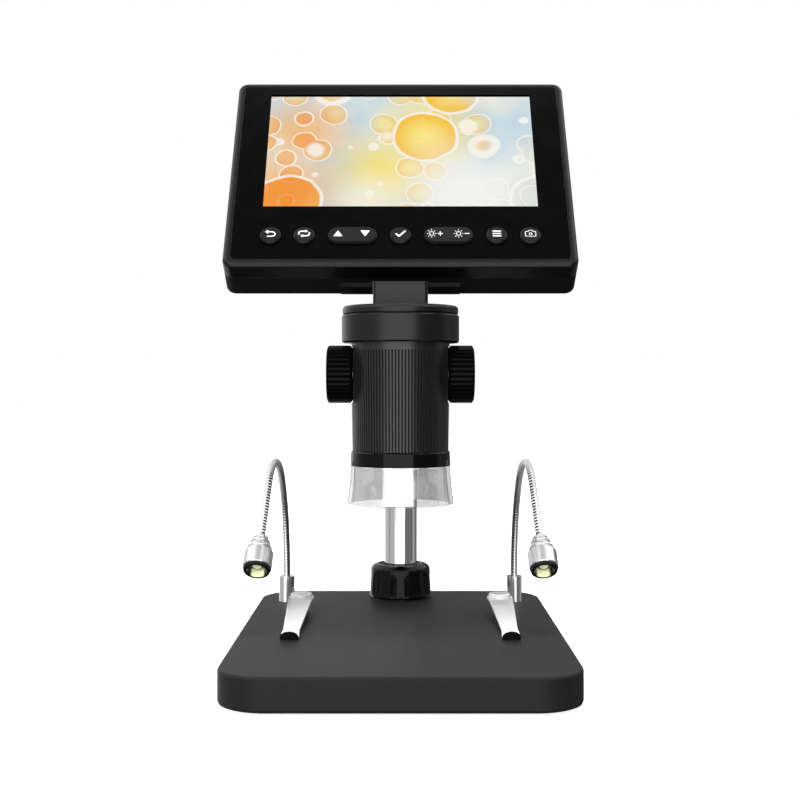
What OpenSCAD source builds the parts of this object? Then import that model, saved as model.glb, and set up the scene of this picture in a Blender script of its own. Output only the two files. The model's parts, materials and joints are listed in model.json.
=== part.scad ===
// Digital microscope on a weighted stand: a tilting screen and a focusing tube
// held by an arm on a post, with two gooseneck lamps and two stage clips.
// Millimetres, +Z up, +Y to the rear; the origin is the centre of the base on the floor.

/* [Base] */
// Width of the base plate, left to right
base_w = 109.4; // [104:0.1:125]
// Depth of the base plate, front to rear
base_d = 157; // [150:0.5:180]
// Height of the base plate without its feet
base_h = 10.7; // [10:0.1:14]
// Radius of the base plate's corners
base_corner_r = 15.5; // [8:0.5:20]
// Chamfer round the top of the base plate
base_chamfer = 0.9; // [0.4:0.1:1.6]
// Wall of the base casing
base_wall = 2.4; // [1.8:0.1:3]
// How far the rubber feet stand out below the casing
foot_proud = 1.3; // [1:0.1:3]
// Diameter of a rubber foot
foot_d = 12; // [9:0.5:14]
// Thickness of the steel ballast plate
ballast_t = 4.2; // [2:0.1:4.8]

/* [Post] */
// Diameter of the post
post_d = 13; // [11:0.1:14]
// Height of the post above the base plate
post_h = 122; // [118:0.5:124]
// Wall of the post tube
post_wall = 1.2; // [0.8:0.1:1.8]
// Distance of the post from the rear edge of the base
post_inset = 15; // [13:0.5:16]
// Diameter of the clamping nut at its foot
nut_d = 24.5; // [23:0.1:26]
// Height of the clamping nut
nut_h = 12.9; // [10:0.1:16]
// Flats round the clamping nut
nut_flats = 5; // [5:1:8]
// Width of the rib left between two flats of the nut
nut_rib_w = 3.3; // [2:0.1:4]

/* [Arm] */
// Distance from the post to the tube
arm_reach = 69; // [66:0.5:72]
// Outer diameter of the tube's holding ring
ring_d = 40.2; // [39.5:0.1:42]
// Height of the holding ring
ring_h = 9.6; // [7:0.1:11]
// Width of the arm
arm_w = 15; // [11:0.5:18]
// Outer diameter of the arm's hub
hub_d = 25; // [23:0.5:27]
// Height of the arm's hub
hub_h = 30; // [26:0.5:32]
// Diameter of the lock knob
lock_d = 17; // [13:0.5:18]

/* [Tube] */
// Free height between the base plate and the mouth of the cup
work_gap = 43.2; // [42:0.2:48]
// Height of the clear cup
cup_h = 13.1; // [10:0.1:16]
// Diameter of the cup's mouth
cup_mouth_d = 36.5; // [35:0.1:39]
// Wall of the cup
cup_wall = 1.3; // [0.9:0.1:1.8]
// Height of the glossy nose ring
nose_h = 4.9; // [4:0.1:7]
// Diameter of the nose ring
nose_d = 34; // [33:0.1:34.8]
// Height of the ribbed grip
grip_h = 34.3; // [33.5:0.1:36.5]
// Diameter of the grip at its upper end
grip_d = 33.8; // [33:0.1:34.2]
// Number of ribs round the grip
grip_ribs = 96; // [60:1:110]
// Depth of the grooves in the grip
grip_groove = 0.5; // [0.3:0.05:0.8]
// Diameter of the smooth collar that turns in the ring
collar_d = 33.8; // [33.4:0.1:34.6]
// Bore of the tube
tube_bore_d = 28.4; // [27.6:0.1:29]
// Thickness of the cap over the ring
cap_h = 2.6; // [2:0.1:4]
// Diameter of the cap
cap_d = 39.6; // [38:0.1:40.4]

/* [Focus] */
// Height of the focus shaft above the foot of the grip
focus_rise = 26.2; // [25.6:0.1:26.6]
// Diameter of the focus knobs
knob_d = 19.7; // [17:0.1:20]
// Distance over both focus knobs
knob_span = 50.6; // [50:0.1:56]
// Number of ribs round a focus knob
knob_ribs = 36; // [20:1:44]
// Diameter of the focus shaft
shaft_d = 4; // [3:0.1:4.4]
// Module of the pinion and rack
gear_module = 0.5; // [0.45:0.01:0.52]
// Teeth on the pinion
pinion_teeth = 16; // [15:1:17]
// Stroke of the lens carrier to each side of its middle
lens_stroke = 6.2; // [4:0.1:6.4]

/* [Display] */
// Width of the display housing
disp_w = 119.7; // [117:0.1:130]
// Height of the display housing along its face
disp_h = 87.5; // [87:0.1:95]
// Thickness of the display housing
disp_t = 16.4; // [15.6:0.1:18]
// Radius of the housing's corners
disp_corner_r = 3.6; // [3:0.1:8]
// Backward lean of the face from upright
disp_lean = 34.3; // [30:0.1:40]
// Thickness of the front frame
bezel_t = 7; // [6.6:0.1:7.6]
// Wall of the display housing
disp_wall = 1.8; // [1.2:0.1:2.2]
// Width of the picture area
screen_w = 95.04; // [90:0.1:98]
// Height of the picture area
screen_h = 54.8; // [50:0.1:55.6]
// Distance of the picture area from the housing's lower edge
screen_rise = 26.1; // [25:0.1:28]
// Thickness of the screen window
window_t = 1; // [0.6:0.1:1.2]
// Width of the hinge bulge on the back
bulge_w = 40.7; // [36:0.1:50]

/* [Hinge] */
// Width of the neck
neck_w = 18.8; // [14:0.1:22]
// Thickness of the neck
neck_t = 8; // [7:0.1:9]
// Height of the hinge axis above the cap
hinge_rise = 10.4; // [9:0.1:14]
// Distance of the hinge axis behind the screen's face
hinge_back = 12; // [11.5:0.1:12.5]
// Distance of the hinge axis above the housing's lower edge
hinge_up = 5; // [4.8:0.1:5.4]
// Diameter of the hinge pin
pin_d = 3; // [2:0.1:3.6]
// How far the screen tilts up from rest
tilt_up = 20; // [10:1:24]
// How far the screen tilts back from rest
tilt_back = 25; // [10:1:30]

/* [Keys] */
// Diameter of a round key
key_d = 7.1; // [5:0.1:7.8]
// Length of a double key
key_long = 16.6; // [14:0.1:17.4]
// Distance of the row of keys from the housing's lower edge
key_rise = 12.4; // [11:0.1:14]
// How far the keys stand out of the face
key_proud = 1.2; // [0.9:0.1:1.8]
// Travel of a key
key_travel = 0.5; // [0.3:0.05:0.6]
// Distance from the middle to the double keys
key_x1 = 16.25; // [15:0.05:17]
// Distance from the middle to the inner round keys
key_x2 = 32.6; // [31:0.1:33.4]
// Distance from the middle to the outer round keys
key_x3 = 44; // [43:0.1:47]

/* [Lamps] */
// Distance of a lamp's socket from the side of the base
lamp_inset = 10.6; // [9:0.1:12]
// Distance of a lamp's socket from the rear edge of the base
lamp_back = 25; // [22:0.5:28]
// Diameter of a lamp's socket
socket_d = 6; // [5:0.1:6.6]
// Height of a lamp's socket above the base
socket_h = 9.7; // [7:0.1:12]
// Diameter of the gooseneck
neck_d = 2.6; // [2:0.1:2.8]
// Height of the gooseneck's arch above the base
arch_h = 55.6; // [52:0.1:60]
// Bend radius of the gooseneck at its arch
arch_r = 22; // [16:0.1:24]
// Forward lean of the gooseneck where its stem meets the arch
stem_lean = 37; // [25:1:45]
// Length of the straight reach from the arch to the head
reach = 22.4; // [18:0.1:25]
// Downward slope of the reach
reach_slope = 47; // [40:1:52]
// Outward turn of the arch
lamp_splay = 3.2; // [2:0.1:8]
// Diameter of a lamp head
head_d = 9.8; // [9.4:0.1:12]
// Length of the lamp head's barrel
head_len = 6.2; // [6:0.1:9]

/* [Clips] */
// Distance of a clip's stud from the side of the base
clip_inset = 18.1; // [16:0.1:20]
// Distance of a clip's stud from the rear edge of the base
clip_back = 49; // [46.5:0.5:53]
// Length of a clip from its stud to its tip
clip_len = 55.3; // [48:0.1:58]
// Width of a clip at its stud
clip_w = 9.2; // [8.6:0.1:10]
// Width of a clip at its tip
clip_tip_w = 6.1; // [5:0.1:7]
// Thickness of the spring strip
clip_t = 0.7; // [0.5:0.05:0.9]
// Height of the strip's top at the stud above the base
clip_rise = 5.6; // [4.5:0.1:7]

/* [Hidden] */

$fn = 64;
through = 1;              // how far a cutter runs past the face it opens
fit = 0.05;               // radial clearance of a running fit
loose = 0.4;              // clearance between parts that must never touch
black = "#161616";
graphite = "#2a2a2b";
chrome = "#d8dadc";
steel = "#9aa0a4";
rubber = "#101010";
board_green = "#1d5a38";

// Heights of the stand and the tube, from the floor up
collar_show = 2.6;
cap_gap = 0.4;
base_top = foot_proud + base_h;
cup_z = base_top + work_gap;
nose_z = cup_z + cup_h;
grip_z = nose_z + nose_h + 0.1;
grip_top = grip_z + grip_h;
ring_z = grip_top + collar_show;
ring_top = ring_z + ring_h;
cap_z = ring_top + cap_gap;
cap_top = cap_z + cap_h;
hinge_z = cap_top + hinge_rise;
focus_z = grip_z + focus_rise;
post_top = base_top + post_h;

// Places seen from above
post_y = base_d / 2 - post_inset;
tube_y = post_y - arm_reach;
lamp_x = base_w / 2 - lamp_inset;
lamp_y = base_d / 2 - lamp_back;
clip_x = base_w / 2 - clip_inset;
clip_y = base_d / 2 - clip_back;

// Base casing: cover, feet and screws
cover_t = 1.6;
cover_z = foot_proud;
cavity_top = base_top - base_wall;
foot_sink = 0.8;
foot_round = 1;
foot_inset = 7;
foot_x = base_w / 2 - foot_d / 2 - foot_inset;
foot_y = base_d / 2 - foot_d / 2 - foot_inset;
boss_d = 6;
boss_gap = 0.5;
screw_back = 40;
screw_x = base_w / 2 - base_wall - boss_d / 2 - boss_gap;
screw_y = base_d / 2 - screw_back;
screw_d = 2.4;
screw_head_d = 4.6;
ballast_front = -base_d / 2 + base_wall + 4;
ballast_r = 10;

// Post socket, plug and nut
socket_flange_d = 22;
ballast_rear = post_y - socket_flange_d / 2 - 2;
spigot_d = post_d + 4.4;
spigot_top = base_top + nut_h - 4;
plug_h = 2;
nut_gap = 0.5;

// Inlet and lamp board in the rear of the base
inlet_x = 27;
inlet_w = 9;
inlet_h = 3.3;
inlet_depth = 7;
inlet_wall = 0.6;
board_t = 1.2;
board_z = cover_z + cover_t + 1.5;
board_w = 26;
board_d = 17.5;
board_edge = 7;

// Hub, bush and lock knob
bush_wall = 2;
bush_flange = 1.6;
bush_r = post_d / 2 + fit;
hub_top = ring_top + 2.2;
hub_z = hub_top - hub_h;
hub_bore_r = bush_r + bush_wall + fit;
lock_z = hub_z + 8;
lock_boss_d = 11;
lock_x = hub_d / 2 + 2.6;
lock_len = 11;
lock_screw_d = 5;

// Flat seats on the tube for the focus knobs
seat_x = grip_d / 2 - 0.75;
seat_clear = 0.3;

// Tube interior
wall_clear = 0.6;
pinion_r = gear_module * pinion_teeth / 2;
carrier_r = 9;
carrier_h = 9;
pressure = 20;
rack_w = 5;
rack_back = 3.6;
sensor_z = focus_z - pinion_r - 4;
chip_t = 1.2;
carrier_z = sensor_z - chip_t - 0.3 - lens_stroke - carrier_h;
tooth_out = 0.8 * gear_module;
tooth_in = 1.15 * gear_module;
lens_r = 6.4;
led_board_t = 1.2;
led_count = 8;

// Display, in its own frame: x to the right, y up the face, z out of the face
hinge_y = tube_y;
face_y = hinge_y - (hinge_up * sin(disp_lean) + hinge_back * cos(disp_lean));
face_z = hinge_z - (hinge_up * cos(disp_lean) - hinge_back * sin(disp_lean));
face_plate = 2;
front_round = 1.8;
rear_round = 1.5;
knuckle_r = neck_t / 2;
neck_round = 1.4;
ear_r = hinge_up + 1.3;
notch_side = fit;
window_rim = 2.6;
window_gap = 0.1;
aperture = 1;
boss_in = 4.8;
case_boss_d = 5.4;
lcd_t = 2.9;
lcd_clear = 0.4;
lcd_tail = 5;
lcd_lip = 2.6;
lcd_w = disp_w - 2 * (boss_in + case_boss_d / 2 + lcd_clear);
panel_z = -face_plate - lcd_t;
pcb_z = panel_z - 0.7 - board_t;
battery_t = 4.6;
battery_w = 55;
battery_h = 42;
battery_x = -15;
battery_drop = 10;
screen_mid = screen_rise + screen_h / 2;
switch_top = -face_plate - 2;
usb_w = 9;
usb_at = disp_h / 2 + case_boss_d / 2 + usb_w / 2 + loose;
usb_t = 3.2;
card_w = 12;
card_at = usb_at + usb_w / 2 + card_w / 2 + 2;
card_t = 1.8;

// Keys
key_gap = 0.2;
key_flange = 0.7;
flange_t = 0.7;
stem_d = 2.6;
rocker_drop = 0.55;
rocker_stem_x = 5.4;

// Lamps
joint_gap = 1.2;
stem_straight = 12;
lean_run = 2;
ferrule_d = neck_d + 0.2;
lap = 0.4;                // how far a ferrule of the gooseneck takes its tube in
stem_rise = arch_h - stem_straight - lean_run * cos(stem_lean) - arch_r * (1 - sin(stem_lean));
stem_r = stem_rise / sin(stem_lean);
crown_x = stem_r * (1 - cos(stem_lean)) + lean_run * sin(stem_lean) + arch_r * cos(stem_lean);
cone_len = 7.2;
lens_d = 6.8;
lens_seat = 3.2;
led_seat = 5.6;
head_bore_r = lens_d / 2 + 0.75;
bezel_len = 1;

// Clips
stud_d = 4;
clip_cap_d = 8;
clip_cap_h = 1.3;
tip_curl = 2.9;

// ---------------------------------------------------------------- shared shapes

// Edge of a slab from its foot to its top, as [inset, height], rounded at both ends
function edge_profile(h, r_low, r_high, n = 4) = concat(
    r_low > 0 ? [for (i = [0:n]) let(a = 90 * i / n) [r_low * (1 - sin(a)), r_low * (1 - cos(a))]]
              : [[0, 0]],
    r_high > 0 ? [for (i = [0:n]) let(a = 90 * i / n)
                     [r_high * (1 - cos(a)), h - r_high * (1 - sin(a))]]
               : [[0, h]]);

// Closed section of that edge across a span
function span_section(half, edge) = concat(
    [for (e = edge) [half - e[0], e[1]]],
    [for (i = [len(edge) - 1:-1:0]) [edge[i][0] - half, edge[i][1]]]);

// Slab with round corners in plan and a profiled edge all round
module slab(w, d, r, edge) {
    top = edge[len(edge) - 1][1];
    rotate([90, 0, 0])
        linear_extrude(d - 2 * r, center = true) polygon(span_section(w / 2, edge));
    rotate([90, 0, 90])
        linear_extrude(w - 2 * r, center = true) polygon(span_section(d / 2, edge));
    for (turn = [0:3])
        translate([(turn == 0 || turn == 3 ? 1 : -1) * (w / 2 - r),
                   (turn < 2 ? 1 : -1) * (d / 2 - r), 0])
            rotate([0, 0, turn * 90])
                rotate_extrude(angle = 90)
                    polygon(concat([[0, edge[0][1]]], [for (e = edge) [r - e[0], e[1]]], [[0, top]]));
}

// Plain slab with round corners
module plate(w, d, h, r) slab(w, d, r, [[0, 0], [0, h]]);

// Tube or bush between two radii
module tube(r_out, r_in, h) {
    difference() {
        cylinder(r = r_out, h = h);
        translate([0, 0, -through]) cylinder(r = r_in, h = h + 2 * through);
    }
}

// Outline of a ribbed round body: flat-topped ribs over a grooved circle
module ribbed_outline(r, groove, ribs, share = 0.6) {
    step = 360 / ribs;
    polygon([for (i = [0:ribs - 1], p = [[0, 1], [share, 1], [share + 0.08, 0], [0.92, 0]])
        let(a = step * (i + p[0] - share / 2), q = r - (1 - p[1]) * groove)
        [q * cos(a), q * sin(a)]]);
}

// Both sides of the base
module each_side(x) for (s = [-1, 1]) translate([s * x, 0, 0]) children();

module in_tube(z = 0) translate([0, tube_y, z]) children();
module on_post(z = 0) translate([0, post_y, z]) children();

// ---------------------------------------------------------------- base

module base_shell() {
    color(graphite) difference() {
        union() {
            difference() {
                translate([0, 0, foot_proud])
                    slab(base_w, base_d, base_corner_r,
                         edge_profile(base_h, foot_round, base_chamfer, 2));
                translate([0, 0, foot_proud - through])
                    plate(base_w - 2 * base_wall, base_d - 2 * base_wall,
                          base_h - base_wall + through, base_corner_r - base_wall);
            }
            for (x = [-1, 1], y = [-1, 1])
                translate([x * screw_x, y * screw_y, cover_z + cover_t])
                    cylinder(d = boss_d, h = cavity_top - cover_z - cover_t + 0.5);
            // Pads that hold the lamp board
            for (x = [-1, 1])
                translate([inlet_x + x * 7 - 1.5, post_y - 4, board_z + board_t])
                    cube([3, 3, cavity_top - board_z - board_t + 0.5]);
        }
        for (x = [-1, 1], y = [-1, 1])
            translate([x * screw_x, y * screw_y, cover_z + cover_t - through])
                cylinder(d = screw_d + 2 * fit, h = 5);
        on_post(foot_proud) cylinder(d = spigot_d + 2 * fit, h = base_h + through);
        each_side(lamp_x) translate([0, lamp_y, cavity_top - through])
            cylinder(d = socket_d - 1.4 + 2 * fit, h = base_wall + 2 * through);
        each_side(clip_x) translate([0, clip_y, cavity_top - through])
            cylinder(d = stud_d - 1 + 2 * fit, h = base_wall + 2 * through);
        translate([inlet_x - inlet_w / 2, base_d / 2 - base_wall - through,
                   board_z + board_t])
            cube([inlet_w, base_wall + 2 * through, inlet_h]);
    }
}

module base_cover() {
    color(graphite) difference() {
        translate([0, 0, cover_z])
            plate(base_w - 2 * base_wall - 0.2, base_d - 2 * base_wall - 0.2,
                  cover_t, base_corner_r - base_wall - 0.1);
        for (x = [-1, 1], y = [-1, 1]) {
            translate([x * screw_x, y * screw_y, cover_z - through])
                cylinder(d = screw_d + 0.4, h = cover_t + 2 * through);
            translate([x * screw_x, y * screw_y, cover_z - through])
                cylinder(d = screw_head_d + 0.2, h = through + 1);
            translate([x * foot_x, y * foot_y, cover_z - through])
                cylinder(d = foot_d + 2 * fit, h = through + foot_sink);
        }
    }
}

module ballast_plate() {
    color(steel) translate([0, (ballast_front + ballast_rear) / 2, cover_z + cover_t])
        plate(2 * screw_x - boss_d - 1, ballast_rear - ballast_front, ballast_t, ballast_r);
}

module base_feet() {
    color(rubber) for (x = [-1, 1], y = [-1, 1])
        translate([x * foot_x, y * foot_y, 0]) rotate_extrude()
            polygon([[0, 0], [foot_d / 2 - 0.9, 0], [foot_d / 2 - 0.25, 0.7],
                     [foot_d / 2 - 0.25, foot_proud], [foot_d / 2, foot_proud],
                     [foot_d / 2, foot_proud + foot_sink], [0, foot_proud + foot_sink]]);
}

module base_screws() {
    color(steel) for (x = [-1, 1], y = [-1, 1])
        translate([x * screw_x, y * screw_y, cover_z + 0.1]) difference() {
            union() {
                cylinder(d = screw_head_d, h = 0.9);
                cylinder(d = screw_d, h = cover_t + 3);
            }
            for (turn = [0, 90]) rotate([0, 0, turn])
                translate([-1.3, -0.3, -through]) cube([2.6, 0.6, through + 0.5]);
        }
}

module lamp_board() {
    color(board_green) union() {
        translate([inlet_x - board_w / 2, post_y - board_edge, board_z])
            cube([board_w, board_d, board_t]);
        translate([inlet_x - 10, post_y + 1, board_z + board_t]) cube([4, 5, 1]);
        translate([inlet_x + 6, post_y + 2, board_z + board_t]) cube([3, 2, 0.8]);
    }
}

module power_inlet() {
    mouth = base_d / 2 - 0.3;
    color(steel) translate([inlet_x, mouth, board_z + board_t + inlet_h / 2])
        difference() {
            translate([-inlet_w / 2 + 0.1, -inlet_depth, -inlet_h / 2])
                cube([inlet_w - 0.2, inlet_depth, inlet_h - 0.1]);
            translate([-inlet_w / 2 + 0.1 + inlet_wall, 1.5 - inlet_depth,
                       inlet_wall - inlet_h / 2])
                cube([inlet_w - 0.2 - 2 * inlet_wall, inlet_depth,
                      inlet_h - 0.1 - 2 * inlet_wall]);
        }
}

module post() {
    color(chrome) on_post(cover_z + cover_t + 1.4)
        tube(post_d / 2, post_d / 2 - post_wall, post_top - cover_z - cover_t - 1.4);
}

module post_plug() {
    r = post_d / 2;
    color(black) on_post(post_top) union() {
        translate([0, 0, -5]) cylinder(r = r - post_wall - fit, h = 5 + 0.5);
        rotate_extrude() polygon([[0, 0], [r, 0], [r, plug_h - 1.2], [r - 0.4, plug_h - 0.4],
                                  [r - 1.2, plug_h], [0, plug_h]]);
    }
}

// Flanged socket fixed under the base top; its threaded spigot takes the nut
module post_socket() {
    color(steel) on_post(0) difference() {
        union() {
            translate([0, 0, cover_z + cover_t + 0.2])
                cylinder(d = socket_flange_d, h = cavity_top - cover_z - cover_t - 0.2);
            translate([0, 0, cavity_top - 0.5])
                cylinder(d = spigot_d, h = spigot_top - cavity_top + 0.5);
        }
        translate([0, 0, cover_z + cover_t + 1.4]) cylinder(d = post_d + 2 * fit, h = spigot_top);
    }
}

// Domed nut with arch-topped hollows round it, and a rib between each two
module post_nut() {
    r = nut_d / 2;
    taper = 0.6;
    sink = 1.1;
    dome_w = 3;
    dome_h = 2.5;
    dome_z = nut_h - dome_h;
    panel_z = 1.2;
    panel_w = 2 * r * sin(180 / nut_flats - asin(nut_rib_w / 2 / r));
    lip_r = post_d / 2 + 0.5;
    color(black) on_post(base_top + nut_gap) difference() {
        rotate_extrude() polygon(concat(
            [[spigot_d / 2 + fit, 0], [r - 0.5, 0], [r, 0.6]],
            [for (i = [0:6]) let(a = 90 * i / 6)
                [r - taper - dome_w * (1 - cos(a)), dome_z + dome_h * sin(a)]],
            [[lip_r + 0.4, nut_h - 0.9], [lip_r, nut_h - 2], [lip_r, nut_h - 3.8],
             [spigot_d / 2 + fit, nut_h - 3.8]]));
        for (i = [0:nut_flats - 1]) rotate([0, 0, 360 / nut_flats * (i + 0.5) - 90])
            difference() {
                translate([0, 0, panel_z]) rotate([90, 0, 90])
                    linear_extrude(r + through) arch(panel_w, dome_z - panel_z - 0.3, 3);
                translate([-r - sink, 0, 0])
                    cylinder(r1 = 2 * r, r2 = 2 * r - taper, h = dome_z);
            }
    }
}

// Door-shaped outline with rounded upper corners
module arch(w, h, r) {
    corner = [for (i = [0:6]) let(a = 15 * i) [w / 2 - r + r * cos(a), h - r + r * sin(a)]];
    polygon(concat([[-w / 2, 0], [w / 2, 0]], corner,
                   [for (i = [6:-1:0]) [-corner[i][0], corner[i][1]]]));
}

// ---------------------------------------------------------------- lamps

// Puts a left-hand part on the asked side
module lamp_side(side) mirror([side == "right" ? 1 : 0, 0, 0]) children();

// Foot of the left gooseneck, with x towards its arch
module lamp_foot() translate([-lamp_x, lamp_y, base_top]) rotate([0, 0, 270 - lamp_splay])
    children();

// Crown of the arch, with x along the neck and z up
module lamp_crown() lamp_foot() translate([crown_x, 0, arch_h]) children();

// End of the reach, with z along the neck into the lamp head
module lamp_end() lamp_crown()
    translate([arch_r * sin(reach_slope) + reach * cos(reach_slope), 0,
               -arch_r * (1 - cos(reach_slope)) - reach * sin(reach_slope)])
    rotate([0, 90 + reach_slope, 0]) children();

// Bend in the x-z plane, between two angles before or past its highest point
module bend(r, from, to) translate([0, 0, -r]) rotate([90, 0, 0])
    rotate([0, 0, 90 - to]) rotate_extrude(angle = to - from)
        translate([r, 0]) circle(d = neck_d);

module lamp_sockets() {
    color(chrome) each_side(lamp_x) translate([0, lamp_y, 0]) difference() {
        union() {
            translate([0, 0, base_top]) cylinder(d = socket_d, h = socket_h);
            translate([0, 0, cavity_top - 1.8]) cylinder(d = socket_d - 1.4, h = base_wall + 2);
            translate([0, 0, cavity_top - 1.8]) cylinder(d = socket_d + 1.6, h = 1.8, $fn = 6);
        }
        translate([0, 0, base_top + 0.5]) cylinder(d = ferrule_d + 2 * fit, h = socket_h);
    }
}

module lamp_stem(side) {
    color(chrome) lamp_side(side) union() {
        lamp_foot() translate([0, 0, 1]) cylinder(d = ferrule_d, h = stem_straight - 1 + lap);
        lamp_foot() translate([stem_r, 0, stem_straight + stem_r])
            bend(stem_r, -90, stem_lean - 90);
        lamp_crown() translate([-arch_r * cos(stem_lean), 0, -arch_r * (1 - sin(stem_lean))])
            rotate([0, stem_lean, 0]) translate([0, 0, -lean_run - lap])
                cylinder(d = ferrule_d, h = lean_run + 2 * lap);
        lamp_crown() bend(arch_r, stem_lean - 90, -joint_gap);
    }
}

module lamp_neck(side) {
    color(chrome) lamp_side(side) union() {
        lamp_crown() bend(arch_r, joint_gap, reach_slope);
        lamp_end() translate([0, 0, -reach - lap]) cylinder(d = ferrule_d, h = 3 * lap);
        lamp_end() translate([0, 0, lap - reach]) cylinder(d = neck_d, h = reach + 1 - lap);
    }
}

// Stepped cone behind a plain barrel, open at the mouth for the lens
module lamp_head(side) {
    r = head_d / 2;
    top = cone_len + head_len;
    // Each ring of the cone: its share of the radius and of the cone's length
    rings = [[0.54, 0.2], [0.68, 0.44], [0.86, 0.8]];
    color(chrome) lamp_side(side) lamp_end() difference() {
        rotate_extrude() polygon(concat([[0, 0], [neck_d / 2 + 0.4, 0]],
            [for (k = rings, p = [[0, -0.4], [0, 0], [-0.25, 0.15]])
                [r * k[0] + p[0], cone_len * k[1] + p[1]]],
            [[r - 0.3, cone_len - 0.3], [r, cone_len], [r, top - 0.3], [r - 0.3, top],
             [0, top]]));
        translate([0, 0, -through]) cylinder(d = neck_d + 2 * fit, h = 1 + through);
        translate([0, 0, top - led_seat]) cylinder(r = head_bore_r, h = led_seat + through);
    }
}

module lamp_bezel(side) {
    color(black) lamp_side(side) lamp_end() translate([0, 0, cone_len + head_len - 1.6])
        difference() {
            union() {
                cylinder(r = head_bore_r - fit, h = 1.6);
                translate([0, 0, 1.6]) cylinder(d1 = head_d - 0.4, d2 = head_d - 0.9, h = bezel_len);
            }
            translate([0, 0, -through]) cylinder(d = lens_d - 0.6, h = 1.6 + through + 0.4);
            translate([0, 0, 2]) cylinder(d1 = lens_d - 0.6, d2 = lens_d + 0.6, h = bezel_len);
        }
}

// Moulded lens: a flanged disc with a domed front
module lamp_lens(side) {
    color("#e8f0c8") lamp_side(side) lamp_end()
        translate([0, 0, cone_len + head_len - lens_seat])
        rotate_extrude() polygon(concat([[0, 0], [lens_d / 2 + 0.7, 0], [lens_d / 2 + 0.7, 1.6],
            [lens_d / 2 - 0.8, 1.6]],
            [for (i = [1:4]) let(a = 90 * i / 4)
                [(lens_d / 2 - 0.8) * cos(a), 1.6 + 1.1 * sin(a)]]));
}

module lamp_led(side) {
    color("#e6e86a") lamp_side(side) lamp_end()
        translate([0, 0, cone_len + head_len - led_seat]) union() {
            cylinder(r = head_bore_r - fit, h = 0.8);
            translate([-1.7, -1.7, 0.5]) cube([3.4, 3.4, 0.9]);
            translate([0, 0, 1.2]) cylinder(d = 2.6, h = 0.8);
            tube(lens_d / 2 + 0.7, lens_d / 2 + 0.1, led_seat - lens_seat);
        }
}

// ---------------------------------------------------------------- clips

module clip_posts() {
    color(steel) each_side(clip_x) translate([0, clip_y, 0]) union() {
        translate([0, 0, cavity_top - 1.4]) cylinder(d = stud_d + 2, h = 1.4, $fn = 6);
        translate([0, 0, cavity_top - 1]) cylinder(d = stud_d - 1, h = base_wall + 1.5);
        translate([0, 0, base_top]) cylinder(d = stud_d + 1.6, h = clip_rise - clip_t);
        translate([0, 0, base_top]) cylinder(d = stud_d, h = clip_rise);
    }
}

module clip_caps() {
    color(chrome) each_side(clip_x) translate([0, clip_y, base_top + clip_rise])
        difference() {
            rotate_extrude() polygon([[0, 0], [clip_cap_d / 2, 0],
                [clip_cap_d / 2, clip_cap_h - 0.4], [clip_cap_d / 2 - 0.4, clip_cap_h],
                [0, clip_cap_h]]);
            translate([-clip_cap_d / 2 - through, -0.4, clip_cap_h - 0.5])
                cube([clip_cap_d + 2 * through, 0.8, 1]);
        }
}

// Left-hand normal of the line from a to b
function normal(a, b) = let(d = (b - a) / norm(b - a)) [-d[1], d[0]];

// The same line moved sideways by t, mitred at its corners
function shifted(line, t) = [for (i = [0:len(line) - 1])
    let(n1 = i > 0 ? normal(line[i - 1], line[i]) : normal(line[0], line[1]),
        n2 = i < len(line) - 1 ? normal(line[i], line[i + 1]) : n1)
    line[i] + t * (n1 + n2) / (1 + n1 * n2)];

// Underside of the strip, with x forward from the stud and y up from the base
function strip_line() = [
    [-clip_w / 2 - 1, clip_rise - clip_t],
    [8, clip_rise - clip_t],
    [15, clip_rise - clip_t - 0.6],
    [clip_len - 6.5, 0.75],
    [clip_len - 4, 0.12],
    [clip_len - 2, 0.12],
    [clip_len - 0.4, tip_curl]];

module strip_side() {
    under = strip_line();
    over = shifted(under, clip_t);
    polygon(concat(under, [for (i = [len(over) - 1:-1:0]) over[i]]));
}

// Plan of the strip: round at the stud, tapering towards the tip
module strip_plan() {
    heel = [for (i = [0:12]) let(a = 90 + 15 * i) clip_w / 2 * [cos(a), sin(a)]];
    polygon(concat(heel, [[clip_len - 10, -clip_tip_w / 2 + 0.3], [clip_len - 4, -clip_tip_w / 2],
                          [clip_len + 1, -clip_tip_w / 2], [clip_len + 1, clip_tip_w / 2],
                          [clip_len - 4, clip_tip_w / 2], [clip_len - 10, clip_tip_w / 2 - 0.3]]));
}

// What the upturned tip keeps when seen from the front: a half-round tongue
module round_tip() {
    r = clip_tip_w / 2;
    polygon(concat([[-clip_w, -through], [clip_w, -through], [clip_w, 0.9], [r, 0.9]],
                   [for (i = [1:11]) let(a = 15 * i) [r * cos(a), 0.9 + (tip_curl - 0.9) * sin(a)]],
                   [[-r, 0.9], [-clip_w, 0.9]]));
}

module clip_spring(side) {
    s = side == "left" ? -1 : 1;
    color(chrome) translate([s * clip_x, clip_y, base_top]) rotate([0, 0, -90]) difference() {
        rotate([90, 0, 0]) linear_extrude(clip_w + 2, center = true) strip_side();
        translate([0, 0, -through]) linear_extrude(clip_rise + 2 * through) difference() {
            translate([-clip_w, -clip_w]) square([clip_len + 2 * clip_w, 2 * clip_w]);
            strip_plan();
        }
        translate([clip_len - 3, 0, 0]) rotate([90, 0, 90]) linear_extrude(8) difference() {
            translate([-clip_w, 0.9]) square([2 * clip_w, 9]);
            round_tip();
        }
        translate([0, 0, -through]) cylinder(d = stud_d + 2 * fit, h = clip_rise + 2);
    }
}

// ---------------------------------------------------------------- arm

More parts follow.
